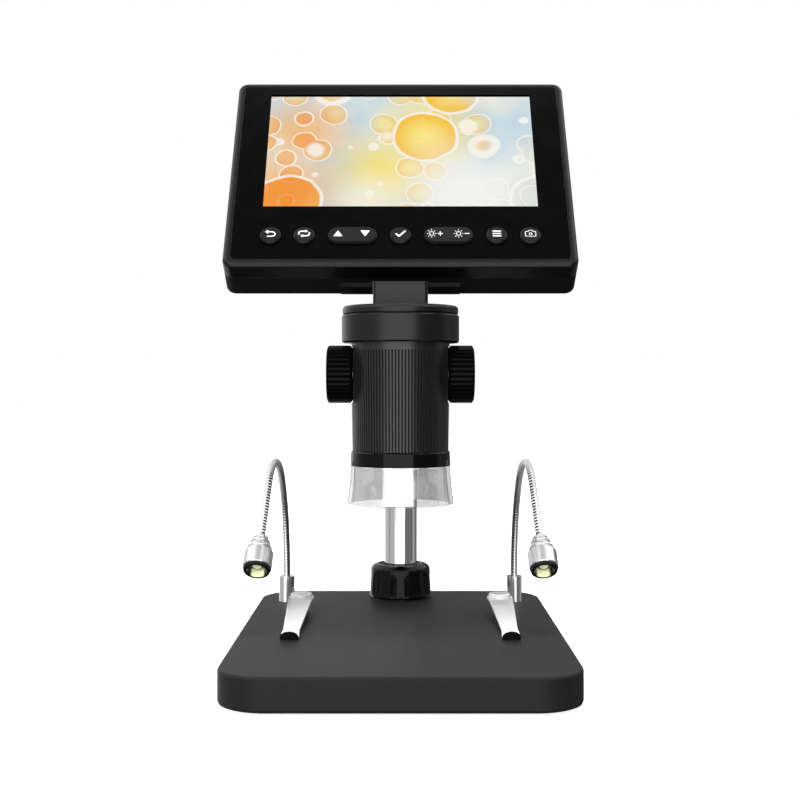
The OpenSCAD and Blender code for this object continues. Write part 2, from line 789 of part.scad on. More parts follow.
// Flanged bush that slides on the post and carries the arm's hub
module slider_bush() {
    color("#3a3a3c") on_post(hub_z) difference() {
        union() {
            cylinder(r = bush_r + bush_wall, h = hub_h);
            translate([0, 0, -bush_flange]) cylinder(r = hub_d / 2 - 0.6, h = bush_flange);
            translate([0, 0, hub_h]) cylinder(r = hub_d / 2 - 0.6, h = bush_flange);
        }
        translate([0, 0, -bush_flange - through])
            cylinder(r = bush_r, h = hub_h + 2 * bush_flange + 2 * through);
    }
}

// Ring for the tube, arm with a web under it, and hub with the lock's boss
module bracket() {
    ring_r = ring_d / 2;
    web_t = 5;
    color(black) difference() {
        union() {
            in_tube(ring_z) rotate_extrude()
                polygon([[0, 0], [ring_r - 0.5, 0], [ring_r, 0.5], [ring_r, ring_h - 0.5],
                         [ring_r - 0.5, ring_h], [0, ring_h]]);
            on_post(hub_z) cylinder(d = hub_d, h = hub_h);
            translate([-arm_w / 2, tube_y + ring_r - 3, ring_z + 0.5])
                cube([arm_w, arm_reach - ring_r - hub_d / 2 + 6, ring_h - 1]);
            translate([-web_t / 2, tube_y, 0]) rotate([90, 0, 90]) linear_extrude(web_t)
                polygon([[ring_r + 4.5, ring_z + 1], [ring_r + 6, ring_z - 2],
                         [arm_reach - hub_d / 2 + 1, hub_z + 4],
                         [arm_reach - hub_d / 2 + 1, ring_z + 1]]);
            on_post(lock_z) rotate([0, 90, 0]) cylinder(d = lock_boss_d, h = lock_x);
        }
        in_tube(ring_z - through) cylinder(r = collar_d / 2 + fit, h = ring_h + 2 * through);
        on_post(hub_z - through) cylinder(r = hub_bore_r, h = hub_h + 2 * through);
        on_post(lock_z) rotate([0, 90, 0])
            cylinder(d = lock_screw_d + 2 * fit, h = lock_x + through);
    }
}

// Lobed knob on a screw that bears on the bush
module lock_knob() {
    tip = bush_r + bush_wall + 0.15;
    color(black) on_post(lock_z) rotate([0, 90, 0]) union() {
        translate([0, 0, tip]) cylinder(d = lock_screw_d, h = lock_x + 2 - tip);
        translate([0, 0, lock_x + 0.3]) cylinder(d = lock_d * 0.62, h = 2);
        translate([0, 0, lock_x + 2]) linear_extrude(lock_len - 3)
            ribbed_outline(lock_d / 2, 1, 18, 0.5);
        translate([0, 0, lock_x + lock_len - 1]) rotate_extrude()
            polygon([[0, 0], [lock_d / 2 - 1, 0], [lock_d / 2 - 1.8, 0.9], [0, 1.3]]);
    }
}

// ---------------------------------------------------------------- tube

// Tapered grip with grooves, under the smooth collar that turns in the ring
module barrel() {
    r = grip_d / 2;
    foot_r = r - 0.45;
    color(black) in_tube(0) difference() {
        union() {
            translate([0, 0, grip_z]) linear_extrude(grip_h, scale = r / foot_r)
                ribbed_outline(foot_r, grip_groove, grip_ribs);
            translate([0, 0, grip_top]) cylinder(d = collar_d, h = ring_top - grip_top);
        }
        translate([0, 0, grip_z - through])
            cylinder(d = tube_bore_d, h = ring_top - grip_z + 2 * through);
        translate([0, 0, focus_z]) rotate([0, 90, 0])
            cylinder(d = shaft_d + 2 * fit, h = 2 * r + 4, center = true);
        for (turn = [0, 180]) rotate([0, 0, turn]) translate([seat_x, 0, focus_z])
            rotate([0, 90, 0]) cylinder(d = knob_d + 2 * seat_clear, h = r);
    }
}

module top_cap() {
    r = cap_d / 2;
    color(black) in_tube(0) difference() {
        union() {
            translate([0, 0, cap_z]) rotate_extrude()
                polygon(concat([[0, 0], [r, 0]],
                    [for (i = [0:3]) let(a = 90 * i / 3)
                        [r - 1.3 + 1.3 * cos(a), cap_h - 1.1 + 1.1 * sin(a)]], [[0, cap_h]]));
            translate([0, 0, ring_top]) cylinder(r = collar_d / 2 + 0.9, h = cap_z - ring_top + 0.5);
            translate([0, 0, ring_top - 3]) cylinder(d = tube_bore_d - 2 * fit, h = 4);
        }
        translate([0, 0, ring_top - 3 - through]) cylinder(d = 8 + 2 * fit, h = cap_h + 6);
    }
}

// Upright bar with a knuckle for the screen's hinge pin and a hollow spigot for the cable
module hinge_neck() {
    round = [for (i = [0:16]) let(a = 180 * i / 16) [knuckle_r * cos(a), hinge_rise + knuckle_r * sin(a)]];
    color(black) in_tube(0) difference() {
        union() {
            translate([0, 0, cap_top]) intersection() {
                rotate([90, 0, 90]) linear_extrude(neck_w, center = true)
                    polygon(concat([[-knuckle_r, 0], [knuckle_r, 0]], round));
                plate(neck_w, neck_t, hinge_rise + knuckle_r, neck_round);
            }
            translate([0, 0, ring_top - 3]) cylinder(d = 8, h = cap_top - ring_top + 4);
        }
        translate([0, 0, hinge_z]) rotate([0, 90, 0])
            cylinder(d = pin_d + 2 * fit, h = neck_w + 2 * through, center = true);
        translate([0, 0, ring_top - 3 - through]) cylinder(d = 4.6, h = 10);
    }
}

module nose_ring() {
    r = nose_d / 2;
    color(black) in_tube(nose_z) difference() {
        rotate_extrude() polygon([[0, 0], [r + 0.1, 0], [r + 0.1, 0.3], [r - 0.05, nose_h - 0.3],
                                  [r - 0.3, nose_h], [tube_bore_d / 2 + 0.6, nose_h],
                                  [tube_bore_d / 2 + 0.6, nose_h + 0.1], [0, nose_h + 0.1]]);
        translate([0, 0, -through]) cylinder(d = tube_bore_d, h = nose_h + 2 * through + 0.2);
    }
}

// Clear skirt that flares to its mouth
module diffuser_cup() {
    top_r = nose_d / 2 + 0.1;
    mouth_r = cup_mouth_d / 2;
    steps = 8;
    flare = [for (i = [0:steps]) let(q = i / steps)
        [mouth_r + (top_r - mouth_r) * (1 - pow(1 - q, 1.7)), 0.5 + (cup_h - 0.5) * q]];
    color("#dfe6ea") in_tube(cup_z) rotate_extrude() polygon(concat(
        [[mouth_r - cup_wall, 0], [mouth_r - 0.2, 0]], flare,
        [for (i = [steps:-1:0]) [flare[i][0] - cup_wall, flare[i][1]]]));
}

module led_board() {
    color("#f0f0ea") in_tube(nose_z)
        tube(tube_bore_d / 2 - fit, carrier_r + wall_clear, led_board_t);
}

module led_chips() {
    ring_r = (tube_bore_d / 2 + carrier_r + wall_clear) / 2;
    color("#fff8d8") in_tube(nose_z - 0.8)
        for (i = [0:led_count - 1]) rotate([0, 0, 360 / led_count * (i + 0.5)])
            translate([ring_r - 1.4, -1.4, 0]) cube([2.8, 2.8, 0.8]);
}

// Round board on a carrier ring in the bore, with a slot for the rack to pass
module sensor_board() {
    color(board_green) in_tube(sensor_z) difference() {
        union() {
            cylinder(r = tube_bore_d / 2 - fit, h = 1.4);
            translate([-2.8, -2.8, -chip_t]) cube([5.6, 5.6, chip_t + 0.5]);
        }
        translate([-rack_w / 2 - wall_clear, pinion_r - tooth_out - wall_clear + 0.1, -through])
            cube([rack_w + 2 * wall_clear, rack_back + tooth_out + tooth_in + 2 * wall_clear,
                  1.4 + 2 * through]);
    }
}

// Involute pinion outline: base circle, flanks by the involute's formula, round tip
module pinion_outline() {
    backlash = 0.12;
    tip_r = pinion_r + tooth_out;
    root_r = pinion_r - tooth_in;
    base_r = pinion_r * cos(pressure);
    inv_pitch = (tan(pressure) - pressure * PI / 180) * 180 / PI;
    half = 90 / pinion_teeth - backlash / 2 / pinion_r * 180 / PI + inv_pitch;
    steps = 4;
    flank = [for (i = [0:steps])
        let(r = base_r + (tip_r - base_r) * i / steps, t = acos(base_r / r),
            a = half - (tan(t) * 180 / PI - t))
        [r, a]];
    polygon([for (k = [0:pinion_teeth - 1]) let(c = 360 / pinion_teeth * k)
        for (p = concat([[root_r, -half]], [for (f = flank) [f[0], -f[1]]],
                        [for (i = [steps:-1:0]) flank[i]], [[root_r, half]]))
            [p[0] * cos(c + p[1]), p[0] * sin(c + p[1])]]);
}

// Shaft through the tube with the pinion cut on its middle
module focus_shaft() {
    reach_x = knob_span / 2 - 2.5;
    color(steel) in_tube(focus_z) rotate([0, 90, 0]) union() {
        cylinder(d = shaft_d, h = 2 * reach_x, center = true);
        linear_extrude(rack_w - 1, center = true) pinion_outline();
    }
}

// Ribbed knob with a slightly crowned end and a bore for the shaft
module focus_knob(side) {
    s = side == "left" ? -1 : 1;
    inner = seat_x + 0.25;
    outer = knob_span / 2;
    crown = 0.8;
    collar = 0.9;
    r = knob_d / 2;
    color(black) in_tube(focus_z) rotate([0, s * 90, 0]) difference() {
        union() {
            translate([0, 0, inner]) rotate_extrude()
                polygon([[0, 0], [r - 0.8, 0], [r - 0.3, 0.5], [r - 0.3, collar], [0, collar]]);
            translate([0, 0, inner + 0.7]) linear_extrude(outer - inner - crown - 0.7)
                ribbed_outline(r, 0.6, knob_ribs, 0.5);
            translate([0, 0, outer - crown]) rotate_extrude()
                polygon([[0, 0], [r - 0.25, 0], [r - 0.45, 0.3], [r - 1.2, 0.6],
                         [r * 0.5, crown], [0, crown]]);
        }
        cylinder(d = shaft_d + 2 * fit, h = outer - 2.5);
    }
}

// Lens carrier: a ring with an arm that carries the rack up to the pinion
module lens_carrier() {
    pitch = PI * gear_module;
    valley = pinion_r + tooth_in;
    half_root = pitch / 4 + tooth_in * tan(pressure) - 0.03;
    half_tip = pitch / 4 - tooth_out * tan(pressure) - 0.03;
    rack_high = focus_z + lens_stroke + 4;
    count = ceil((lens_stroke + 3) / pitch);
    color("#303032") in_tube(0) difference() {
        union() {
            translate([0, 0, carrier_z]) cylinder(r = carrier_r, h = carrier_h);
            translate([-rack_w / 2, valley, carrier_z + 1])
                cube([rack_w, rack_back, rack_high - carrier_z - 1]);
            // Straight-sided teeth, placed so that a gap meets the pinion's tooth
            translate([-rack_w / 2, 0, focus_z]) rotate([90, 0, 90]) linear_extrude(rack_w)
                for (k = [-count:count - 1]) translate([0, (k + 0.5) * pitch])
                    polygon([[valley + 0.4, -half_root], [valley, -half_root],
                             [pinion_r - tooth_out, -half_tip], [pinion_r - tooth_out, half_tip],
                             [valley, half_root], [valley + 0.4, half_root]]);
        }
        translate([0, 0, carrier_z - through])
            cylinder(r = lens_r + fit, h = carrier_h + 2 * through);
    }
}

// Lens cell with a convex front glass
module objective_lens() {
    color("#9fb6c8") in_tube(carrier_z + 0.6) rotate_extrude()
        polygon([[0, 0], [2.5, 0.15], [lens_r - 0.9, 0.9], [lens_r, 0.9], [lens_r, 4.4], [0, 4.4]]);
}

// ---------------------------------------------------------------- display

// Frame of the screen's face: x right, y up from the lower edge, z out of the face
module on_face() translate([0, face_y, face_z]) rotate([90 - disp_lean, 0, 0]) children();

// Housing slab between two depths below the face
module housing_slab(z_low, z_high, r_low, r_high, wall = 0) {
    translate([0, disp_h / 2, z_low])
        slab(disp_w - 2 * wall, disp_h - 2 * wall, disp_corner_r - wall * 0.6,
             edge_profile(z_high - z_low, r_low, r_high));
}

// Screw places round the housing, and the places of the keys
screw_spots = [for (x = [-1, 1], y = [7.5, disp_h / 2, disp_h - 5.5])
    [x * (disp_w / 2 - boss_in), y]];
round_keys = [-key_x3, -key_x2, 0, key_x2, key_x3];
rocker_keys = [-key_x1, key_x1];

// Slot-shaped outline with round ends
module stadium(w, h) {
    polygon([for (s = [0, 1], i = [0:12]) let(a = -90 + 15 * i + 180 * s)
        [(1 - 2 * s) * (w - h) / 2 + h / 2 * cos(a), h / 2 * sin(a)]]);
}

// Openings for all the keys, down from the face
module key_openings(depth) {
    for (x = round_keys) translate([x, key_rise, -depth])
        cylinder(d = key_d + 2 * key_gap, h = depth + through);
    for (x = rocker_keys) translate([x, key_rise, -depth]) linear_extrude(depth + through)
        stadium(key_long + 2 * key_gap, key_d + 2 * key_gap);
}

module front_bezel() {
    color(black) on_face() difference() {
        union() {
            difference() {
                housing_slab(-bezel_t, 0, 0, front_round);
                housing_slab(-bezel_t - through, -face_plate, 0, 0, disp_wall);
            }
            for (p = screw_spots) translate([p[0], p[1], -bezel_t])
                cylinder(d = case_boss_d, h = bezel_t - 1.5);
        }
        translate([0, disp_h / 2, -window_t])
            plate(disp_w - 2 * window_rim, disp_h - 2 * window_rim, window_t + through, 1.5);
        translate([-screen_w / 2 - aperture, screen_rise - aperture, -bezel_t])
            cube([screen_w + 2 * aperture, screen_h + 2 * aperture, bezel_t + through]);
        key_openings(face_plate + through);
        for (p = screw_spots) translate([p[0], p[1], -bezel_t - through])
            cylinder(d = 2, h = 4 + through);
    }
}

// Clear front panel, dark round the picture, with openings for the keys
module screen_window() {
    rim = window_rim + window_gap;
    color("#0b0c0e") on_face() difference() {
        translate([0, disp_h / 2, -window_t])
            plate(disp_w - 2 * rim, disp_h - 2 * rim, window_t, 1.4);
        key_openings(window_t + through);
    }
}

// Panel with its front glass raised through the frame, up to the window
module lcd_panel() {
    rim = aperture - window_gap;
    color("#e8d9a8") on_face() union() {
        translate([-lcd_w / 2, screen_rise - lcd_tail, panel_z])
            cube([lcd_w, screen_h + lcd_tail + lcd_lip, lcd_t]);
        translate([-screen_w / 2 - rim, screen_rise - rim, -face_plate - 0.5])
            cube([screen_w + 2 * rim, screen_h + 2 * rim, face_plate + 0.5 - window_t - fit]);
    }
}

// Board behind the panel: key switches in front, sockets at its right-hand edge
module main_board() {
    edge_x = disp_w / 2 - disp_wall - 0.4;
    color(board_green) on_face() difference() {
        union() {
            translate([-edge_x, 3.2, pcb_z]) cube([2 * edge_x, disp_h - 7, board_t]);
            for (x = round_keys) switch_block(x);
            for (x = rocker_keys, s = [-1, 1]) switch_block(x + s * rocker_stem_x);
            translate([edge_x - 7, usb_at - usb_w / 2, pcb_z - usb_t]) cube([7, usb_w, usb_t + 0.1]);
            translate([edge_x - 13, card_at - card_w / 2, pcb_z - card_t])
                cube([13, card_w, card_t + 0.1]);
            translate([-8, 14.5, pcb_z - 1.1]) cube([12, 12, 1.2]);
            translate([26, 16, pcb_z - 0.9]) cube([9, 6, 1]);
        }
        for (p = screw_spots) translate([p[0], p[1], pcb_z - through])
            cylinder(d = 6.6, h = board_t + 2 * through);
        translate([edge_x - 5.5, usb_at - usb_w / 2 + 0.5, pcb_z - usb_t + 0.5])
            cube([7, usb_w - 1, usb_t - 1]);
    }
}

// Tactile switch under a key, its plunger just short of the key's stem
module switch_block(x) translate([x, key_rise, pcb_z + board_t - 0.1]) union() {
    translate([-2.1, -2.1, 0]) cube([4.2, 4.2, switch_top - pcb_z - board_t - 0.4]);
    cylinder(d = 1.8, h = switch_top - pcb_z - board_t + 0.1);
}

module battery() {
    color("#4b5a78") on_face()
        translate([battery_x, disp_h - battery_drop - battery_h / 2, -disp_t + disp_wall + 0.1])
            plate(battery_w, battery_h, battery_t, 3);
}

// Section of the hinge bulge, as height up the face against depth below it
module bulge_section() {
    ear = [for (i = [0:8]) let(a = 90 * i / 8)
        [hinge_up - ear_r * cos(a), -hinge_back - ear_r * sin(a)]];
    polygon(concat([[0.3, -bezel_t], [0.3, -bezel_t - 2.2], [hinge_up - ear_r, -bezel_t - 3]], ear,
                   [[hinge_up + 15, -disp_t + 0.3], [hinge_up + 15, -disp_t + disp_wall],
                    [hinge_up + ear_r + 1, -disp_t + disp_wall], [hinge_up + ear_r + 1, -bezel_t]]));
}

// Room for the neck in the bulge, over the whole swing of the screen
module notch_section() {
    r = knuckle_r + loose;
    high = disp_lean - tilt_up - 1;
    low = disp_lean + tilt_back + 1;
    reach_out = 14;
    around = [for (i = [0:12]) let(a = -90 - high + (180 + high - low) * i / 12)
        [hinge_up + r * cos(a), hinge_back + r * sin(a)]];
    outline = concat([around[0] + reach_out * [-cos(high), sin(high)]], around,
                     [around[12] + reach_out * [-cos(low), sin(low)]]);
    polygon([for (p = outline) [p[0], -p[1]]]);
}

module rear_cover() {
    color(black) on_face() difference() {
        union() {
            difference() {
                housing_slab(-disp_t, -bezel_t, rear_round, 0);
                housing_slab(-disp_t + disp_wall, -bezel_t + through, 0, 0, disp_wall);
            }
            rotate([90, 0, 90]) linear_extrude(bulge_w, center = true) bulge_section();
            for (p = screw_spots) translate([p[0], p[1], -disp_t + 1])
                cylinder(d = case_boss_d, h = disp_t - bezel_t - 1);
        }
        rotate([90, 0, 90]) linear_extrude(neck_w + 2 * notch_side, center = true) notch_section();
        translate([0, hinge_up, -hinge_back]) rotate([0, 90, 0])
            cylinder(d = pin_d + 2 * fit, h = bulge_w + 2 * through, center = true);
        for (p = screw_spots) translate([p[0], p[1], -disp_t - through]) {
            cylinder(d = 4.8, h = through + 1.2);
            cylinder(d = 2.4, h = disp_t);
        }
        translate([disp_w / 2 - disp_wall - through, usb_at - usb_w / 2, pcb_z - usb_t])
            cube([disp_wall + 2 * through, usb_w, usb_t - 0.2]);
        translate([disp_w / 2 - disp_wall - through, card_at - card_w / 2, pcb_z - card_t])
            cube([disp_wall + 2 * through, card_w, card_t - 0.3]);
    }
}

module housing_screws() {
    color(steel) on_face() for (p = screw_spots) translate([p[0], p[1], -disp_t + 0.15])
        difference() {
            union() {
                cylinder(d = 4.4, h = 1);
                cylinder(d = 1.9, h = disp_t - bezel_t + 3);
            }
            for (turn = [0, 90]) rotate([0, 0, turn])
                translate([-1.2, -0.25, -through]) cube([2.4, 0.5, through + 0.5]);
        }
}

module hinge_pin() {
    color(steel) in_tube(hinge_z) rotate([0, 90, 0])
        cylinder(d = pin_d, h = bulge_w - 0.6, center = true);
}

// Round key: a bevelled cap, a flange that stops it behind the face plate, and a stem
module round_key(x) {
    r = key_d / 2;
    back = face_plate + 0.05;
    stem_end = switch_top + key_travel + 0.08;
    color("#3b3c3e") on_face() translate([x, key_rise, 0]) rotate_extrude()
        polygon([[0, key_proud], [r - 0.5, key_proud], [r, key_proud - 0.5], [r, -back],
                 [r + key_flange, -back], [r + key_flange, -back - flange_t],
                 [stem_d / 2, -back - flange_t], [stem_d / 2, stem_end], [0, stem_end]]);
}

// Double key that rocks about its middle: two stems, one over each switch
module rocker_key(x) {
    back = face_plate + rocker_drop;
    stem_end = switch_top + 0.35;
    color("#3b3c3e") on_face() translate([x, key_rise, 0]) union() {
        translate([0, 0, key_proud - 0.4]) linear_extrude(0.4) stadium(key_long - 0.8, key_d - 0.8);
        translate([0, 0, -back]) linear_extrude(back + key_proud - 0.4) stadium(key_long, key_d);
        translate([0, 0, -back - flange_t]) linear_extrude(flange_t)
            stadium(key_long + 2 * key_flange, key_d + 2 * key_flange);
        for (s = [-1, 1]) translate([s * rocker_stem_x, 0, stem_end])
            cylinder(d = stem_d, h = -back - stem_end - 0.1);
    }
}

base_shell();
base_cover();
ballast_plate();
base_feet();
base_screws();
lamp_board();
power_inlet();
post();
post_plug();
post_socket();
lamp_sockets();
clip_posts();
clip_caps();
post_nut();
lamp_stem("left");  // lamp_stem_left
lamp_neck("left");  // lamp_neck_left
lamp_head("left");  // lamp_head_left
lamp_bezel("left");  // lamp_bezel_left
lamp_lens("left");  // lamp_lens_left
lamp_led("left");  // lamp_led_left
lamp_stem("right");  // lamp_stem_right
lamp_neck("right");  // lamp_neck_right
lamp_head("right");  // lamp_head_right
lamp_bezel("right");  // lamp_bezel_right
lamp_lens("right");  // lamp_lens_right
lamp_led("right");  // lamp_led_right
clip_spring("left");  // clip_spring_left
clip_spring("right");  // clip_spring_right
slider_bush();
bracket();
lock_knob();
barrel();
top_cap();
hinge_neck();
nose_ring();
diffuser_cup();
led_board();
led_chips();
sensor_board();
focus_shaft();
focus_knob("left");  // focus_knob_left
focus_knob("right");  // focus_knob_right
lens_carrier();
objective_lens();
front_bezel();
screen_window();
lcd_panel();
main_board();
battery();
rear_cover();
housing_screws();
hinge_pin();
round_key(-key_x3);  // key_back
round_key(-key_x2);  // key_switch
rocker_key(-key_x1);  // key_updown
round_key(0);  // key_ok
rocker_key(key_x1);  // key_light
round_key(key_x2);  // key_menu
round_key(key_x3);  // key_camera
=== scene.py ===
"""Looks of the digital microscope: materials, goosenecks, key pictograms, studio and camera.

The solids keep their places and get their materials. Wound wire replaces the plain necks of the
lamps. Lengths written in millimetres are turned into metres with MM.
"""

import json
import math

import bmesh
import bpy
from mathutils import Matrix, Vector

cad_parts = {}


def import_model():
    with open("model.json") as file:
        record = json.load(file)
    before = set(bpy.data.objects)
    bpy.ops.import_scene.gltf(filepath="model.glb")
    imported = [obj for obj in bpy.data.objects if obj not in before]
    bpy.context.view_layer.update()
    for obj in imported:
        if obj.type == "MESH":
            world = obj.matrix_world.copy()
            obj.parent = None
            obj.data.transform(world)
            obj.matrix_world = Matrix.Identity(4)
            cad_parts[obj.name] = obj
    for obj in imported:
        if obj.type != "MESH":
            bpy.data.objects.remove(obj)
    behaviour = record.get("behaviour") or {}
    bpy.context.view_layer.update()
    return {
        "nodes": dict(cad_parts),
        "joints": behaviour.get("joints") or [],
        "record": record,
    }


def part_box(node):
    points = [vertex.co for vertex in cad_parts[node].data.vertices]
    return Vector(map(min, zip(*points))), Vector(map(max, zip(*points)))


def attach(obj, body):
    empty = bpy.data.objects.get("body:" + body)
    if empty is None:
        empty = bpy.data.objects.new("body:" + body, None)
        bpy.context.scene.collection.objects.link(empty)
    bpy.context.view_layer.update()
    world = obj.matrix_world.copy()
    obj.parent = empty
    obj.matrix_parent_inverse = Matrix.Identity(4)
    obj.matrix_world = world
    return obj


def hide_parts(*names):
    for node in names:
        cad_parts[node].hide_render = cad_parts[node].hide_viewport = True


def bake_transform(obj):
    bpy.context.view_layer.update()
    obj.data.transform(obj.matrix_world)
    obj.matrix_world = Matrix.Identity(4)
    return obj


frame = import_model()
nodes = frame["nodes"]
joints = {joint["name"]: joint for joint in frame["joints"]}

MM = 0.001
UP = Vector((0, 0, 1))
SIDES = ("left", "right")

# ------------------------------------------------------------------ places on the object

SCREEN_LEAN = math.radians(34.3)     # backward lean of the screen's face from upright
HINGE_UP, HINGE_BACK = 5 * MM, 12 * MM    # over the face's lower edge, and behind the face
PICTURE_W, PICTURE_H = 95.04 * MM, 54.8 * MM
PICTURE_RISE = 26.1 * MM             # from the face's lower edge
PICTURE_MIDDLE = PICTURE_RISE + PICTURE_H / 2
PICTURE_HIDDEN = 0.8 * MM            # how far the lit area runs on under the black print
KEY_RISE = 12.4 * MM                 # from the face's lower edge to the keys' middle
KEY_PROUD = 1.2 * MM                 # top of a key over the face
# Each key's middle, in millimetres from the middle of the face
KEY_X = {"key_back": -44, "key_switch": -32.6, "key_updown": -16.25, "key_ok": 0,
         "key_light": 16.25, "key_menu": 32.6, "key_camera": 44}

face_up = Vector((0, math.sin(SCREEN_LEAN), math.cos(SCREEN_LEAN)))
face_out = Vector((0, -math.cos(SCREEN_LEAN), math.sin(SCREEN_LEAN)))
face_origin = Vector(joints["screen_tilt"]["pos_m"]) - HINGE_UP * face_up + HINGE_BACK * face_out

# Gooseneck, the same sizes as the solids it dresses
NECK_R = 1.3 * MM
STEM_RISE = 43.6 * MM                # from the end of its upright part to the arch's crown
STEM_LEAN, LEAN_RUN = math.radians(37), 2 * MM
ARCH_R = 22 * MM
REACH, REACH_SLOPE = 22.4 * MM, math.radians(47)
INTO_HEAD = 0.8 * MM                 # how far the wire runs into the lamp head
COIL = 1.25 * MM                     # from one turn of the wound wire to the next
GROOVE = 0.09 * MM                   # depth between two turns
GROOVE_SHAPE = 0.35                  # the lower, the narrower the groove
PATH_STEPS = 40                      # for each part of the neck's path
RINGS_PER_COIL, RING_POINTS = 6, 20
# Values kept on each point of the wire: its turns so far, metres from the crown along the lamp's
# axis, metres behind the crown, and how much the point faces the stand's middle plane, up to 1
WIRE_VALUES = ("turns", "down", "behind", "inward")

LENS_R = 3.4 * MM                    # of a lamp
GRIP_H, GRIP_TAPER = 34.3 * MM, 0.45 * MM    # the grip's radius is less by the taper at its foot
KNURL = 0.5 * MM                     # depth of the ribs on the grip and the focus knobs
# The clip's upturned end is painted black, a painted reflection of the dark base it faces
PAINTED_TIP_LENGTH = 2.9 * MM                # black end of a spring clip

INK_LIFT = 0.02 * MM                 # printed ink stands this far over the key
INK_ROOT = 0.01 * MM                 # and starts this far inside it
INK_RISE = 0.35 * MM                 # the prints sit a little above the keys' middle
WELD = 0.0001 * MM                   # points of a print closer than this are one


def face_point(x, up, out):
    """A point of the screen's face: right of its middle, up from its lower edge, out of it."""
    return Vector((x, 0, 0)) + face_origin + up * face_up + out * face_out


def middle_of(node):
    """The middle of a node's box."""
    low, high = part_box(node)
    return (low + high) / 2


def crown_of(side):
    """The top of a gooseneck's arch, where it bends."""
    return Vector(joints["lamp_bend_" + side]["pos_m"])


def foot_of(side):
    """A gooseneck's place on the base, where it turns."""
    return Vector(joints["lamp_turn_" + side]["pos_m"])


def outwards(side):
    """Level direction in which a gooseneck reaches from its foot to its crown."""
    reach = crown_of(side) - foot_of(side)
    return Vector((reach.x, reach.y, 0)).normalized()


def lamp_axis(side):
    """Direction of a lamp head, out of its mouth."""
    return math.cos(REACH_SLOPE) * outwards(side) - math.sin(REACH_SLOPE) * UP


# ------------------------------------------------------------------ node trees

class Tree:
    """The node tree of a material or a world, with short calls for the nodes used here."""

    def __init__(self, owner):
        owner.use_nodes = True
        self.owner = owner
        self.nodes = owner.node_tree.nodes
        self.nodes.clear()

    def feed(self, socket, value):
        """Links an output, or sets a constant; a colour is written without its alpha."""
        if isinstance(value, bpy.types.NodeSocket):
            self.owner.node_tree.links.new(value, socket)
        elif socket.type == "RGBA":
            socket.default_value = (*value, 1)
        else:
            socket.default_value = value

    def add(self, kind, inputs, output=0, **settings):
        """Adds a node, and gives one of its outputs."""
        node = self.nodes.new("ShaderNode" + kind)
        for key, value in settings.items():
            setattr(node, key, value)
        for key, value in inputs.items():
            self.feed(node.inputs[key], value)
        return node.outputs[output]

    def math(self, operation, a, b=0.0):
        return self.add("Math", {0: a, 1: b}, operation=operation)

    def total(self, a, b):
        return self.math("ADD", a, b)

    def product(self, a, b):
        return self.math("MULTIPLY", a, b)

    def apart(self, a, b):
        """How far two numbers are apart."""
        return self.math("ABSOLUTE", self.math("SUBTRACT", a, b))

    def distance(self, a, b):
        """Distance from 0, 0 of a point of a plane."""
        return self.math("SQRT", self.total(self.product(a, a), self.product(b, b)))

    def vector(self, operation, *values):
        """A vector sum, which gives a number for LENGTH and DOT_PRODUCT."""
        output = "Value" if operation in ("LENGTH", "DOT_PRODUCT") else "Vector"
        return self.add("VectorMath", dict(enumerate(values)), output, operation=operation)

    def split(self, vector):
        """The three numbers of a vector."""
        return self.add("SeparateXYZ", {"Vector": vector}).node.outputs

    def span(self, value, low, high, to_low=0.0, to_high=1.0, smooth=False):
        """Maps low..high to to_low..to_high, clamped."""
        return self.add("MapRange", {"Value": value, "From Min": low, "From Max": high,
                                     "To Min": to_low, "To Max": to_high},
                        clamp=True, interpolation_type="SMOOTHSTEP" if smooth else "LINEAR")

    def light_path(self):
        return self.add("LightPath", {}).node.outputs


class Shading(Tree):
    """The node tree of a new material. Its textures lie in the object's own place."""

    def __init__(self, name):
        super().__init__(bpy.data.materials.new(name))
        self.coords = self.add("TexCoord", {}, "Object")

    def noise(self, size, detail=3.0, stretch=(1, 1, 1)):
        """Noise whose features are about `size` metres across, stretched per axis."""
        scale = [times / size for times in stretch]
        place = self.add("Mapping", {"Vector": self.coords, "Scale": scale})
        return self.add("TexNoise", {"Vector": place, "Scale": 1.0, "Detail": detail}, "Fac")

    def mix(self, factor, a, b, blend="MIX"):
        return self.add("Mix", {0: factor, 6: a, 7: b}, 2, data_type="RGBA", blend_type=blend)

    def bump(self, height, distance, normal=None):
        inputs = {"Height": height, "Distance": distance}
        if normal is not None:
            inputs["Normal"] = normal
        return self.add("Bump", inputs)

    def soft_edges(self, radius):
        """Normals rounded at edges, so that edges catch light."""
        return self.add("Bevel", {"Radius": radius}, samples=4)

    def shader(self, kind, **inputs):
        """A shader, with its inputs named with _ for a space."""
        return self.add(kind, {key.replace("_", " "): value for key, value in inputs.items()})

    def mix_shaders(self, factor, a, b):
        return self.add("MixShader", {0: factor, 1: a, 2: b})

    def show(self, shader):
        """Puts a shader on the surface, and gives the material."""
        output = self.nodes.new("ShaderNodeOutputMaterial")
        self.feed(output.inputs["Surface"], shader)
        return self.owner

    def principled(self, **inputs):
        """The material with one principled shader."""
        return self.show(self.shader("BsdfPrincipled", **inputs))


def tinted(colour, factor):
    """A colour made lighter or darker."""
    return tuple(c * factor for c in colour)


# ------------------------------------------------------------------ materials

def moulded(name, colour, roughness, grain=0.25 * MM, depth=0.006 * MM, specular=0.5,
            mottle=0.12, uneven=0.08):
    """Moulded plastic: fine grain, slight unevenness of colour and gloss, softened edges."""
    tree = Shading(name)
    cloud = tree.noise(9 * MM, 2.0)
    shade = tree.mix(cloud, tinted(colour, 1 - mottle), tinted(colour, 1 + mottle))
    least, most = roughness * (1 - uneven), roughness * (1 + uneven)
    rough = tree.span(tree.noise(3 * MM), 0.3, 0.7, least, most)
    normal = tree.bump(tree.noise(grain, 2.0), depth, tree.soft_edges(0.15 * MM))
    return tree.principled(Base_Color=shade, Roughness=rough, Specular_IOR_Level=specular,
                           Normal=normal)


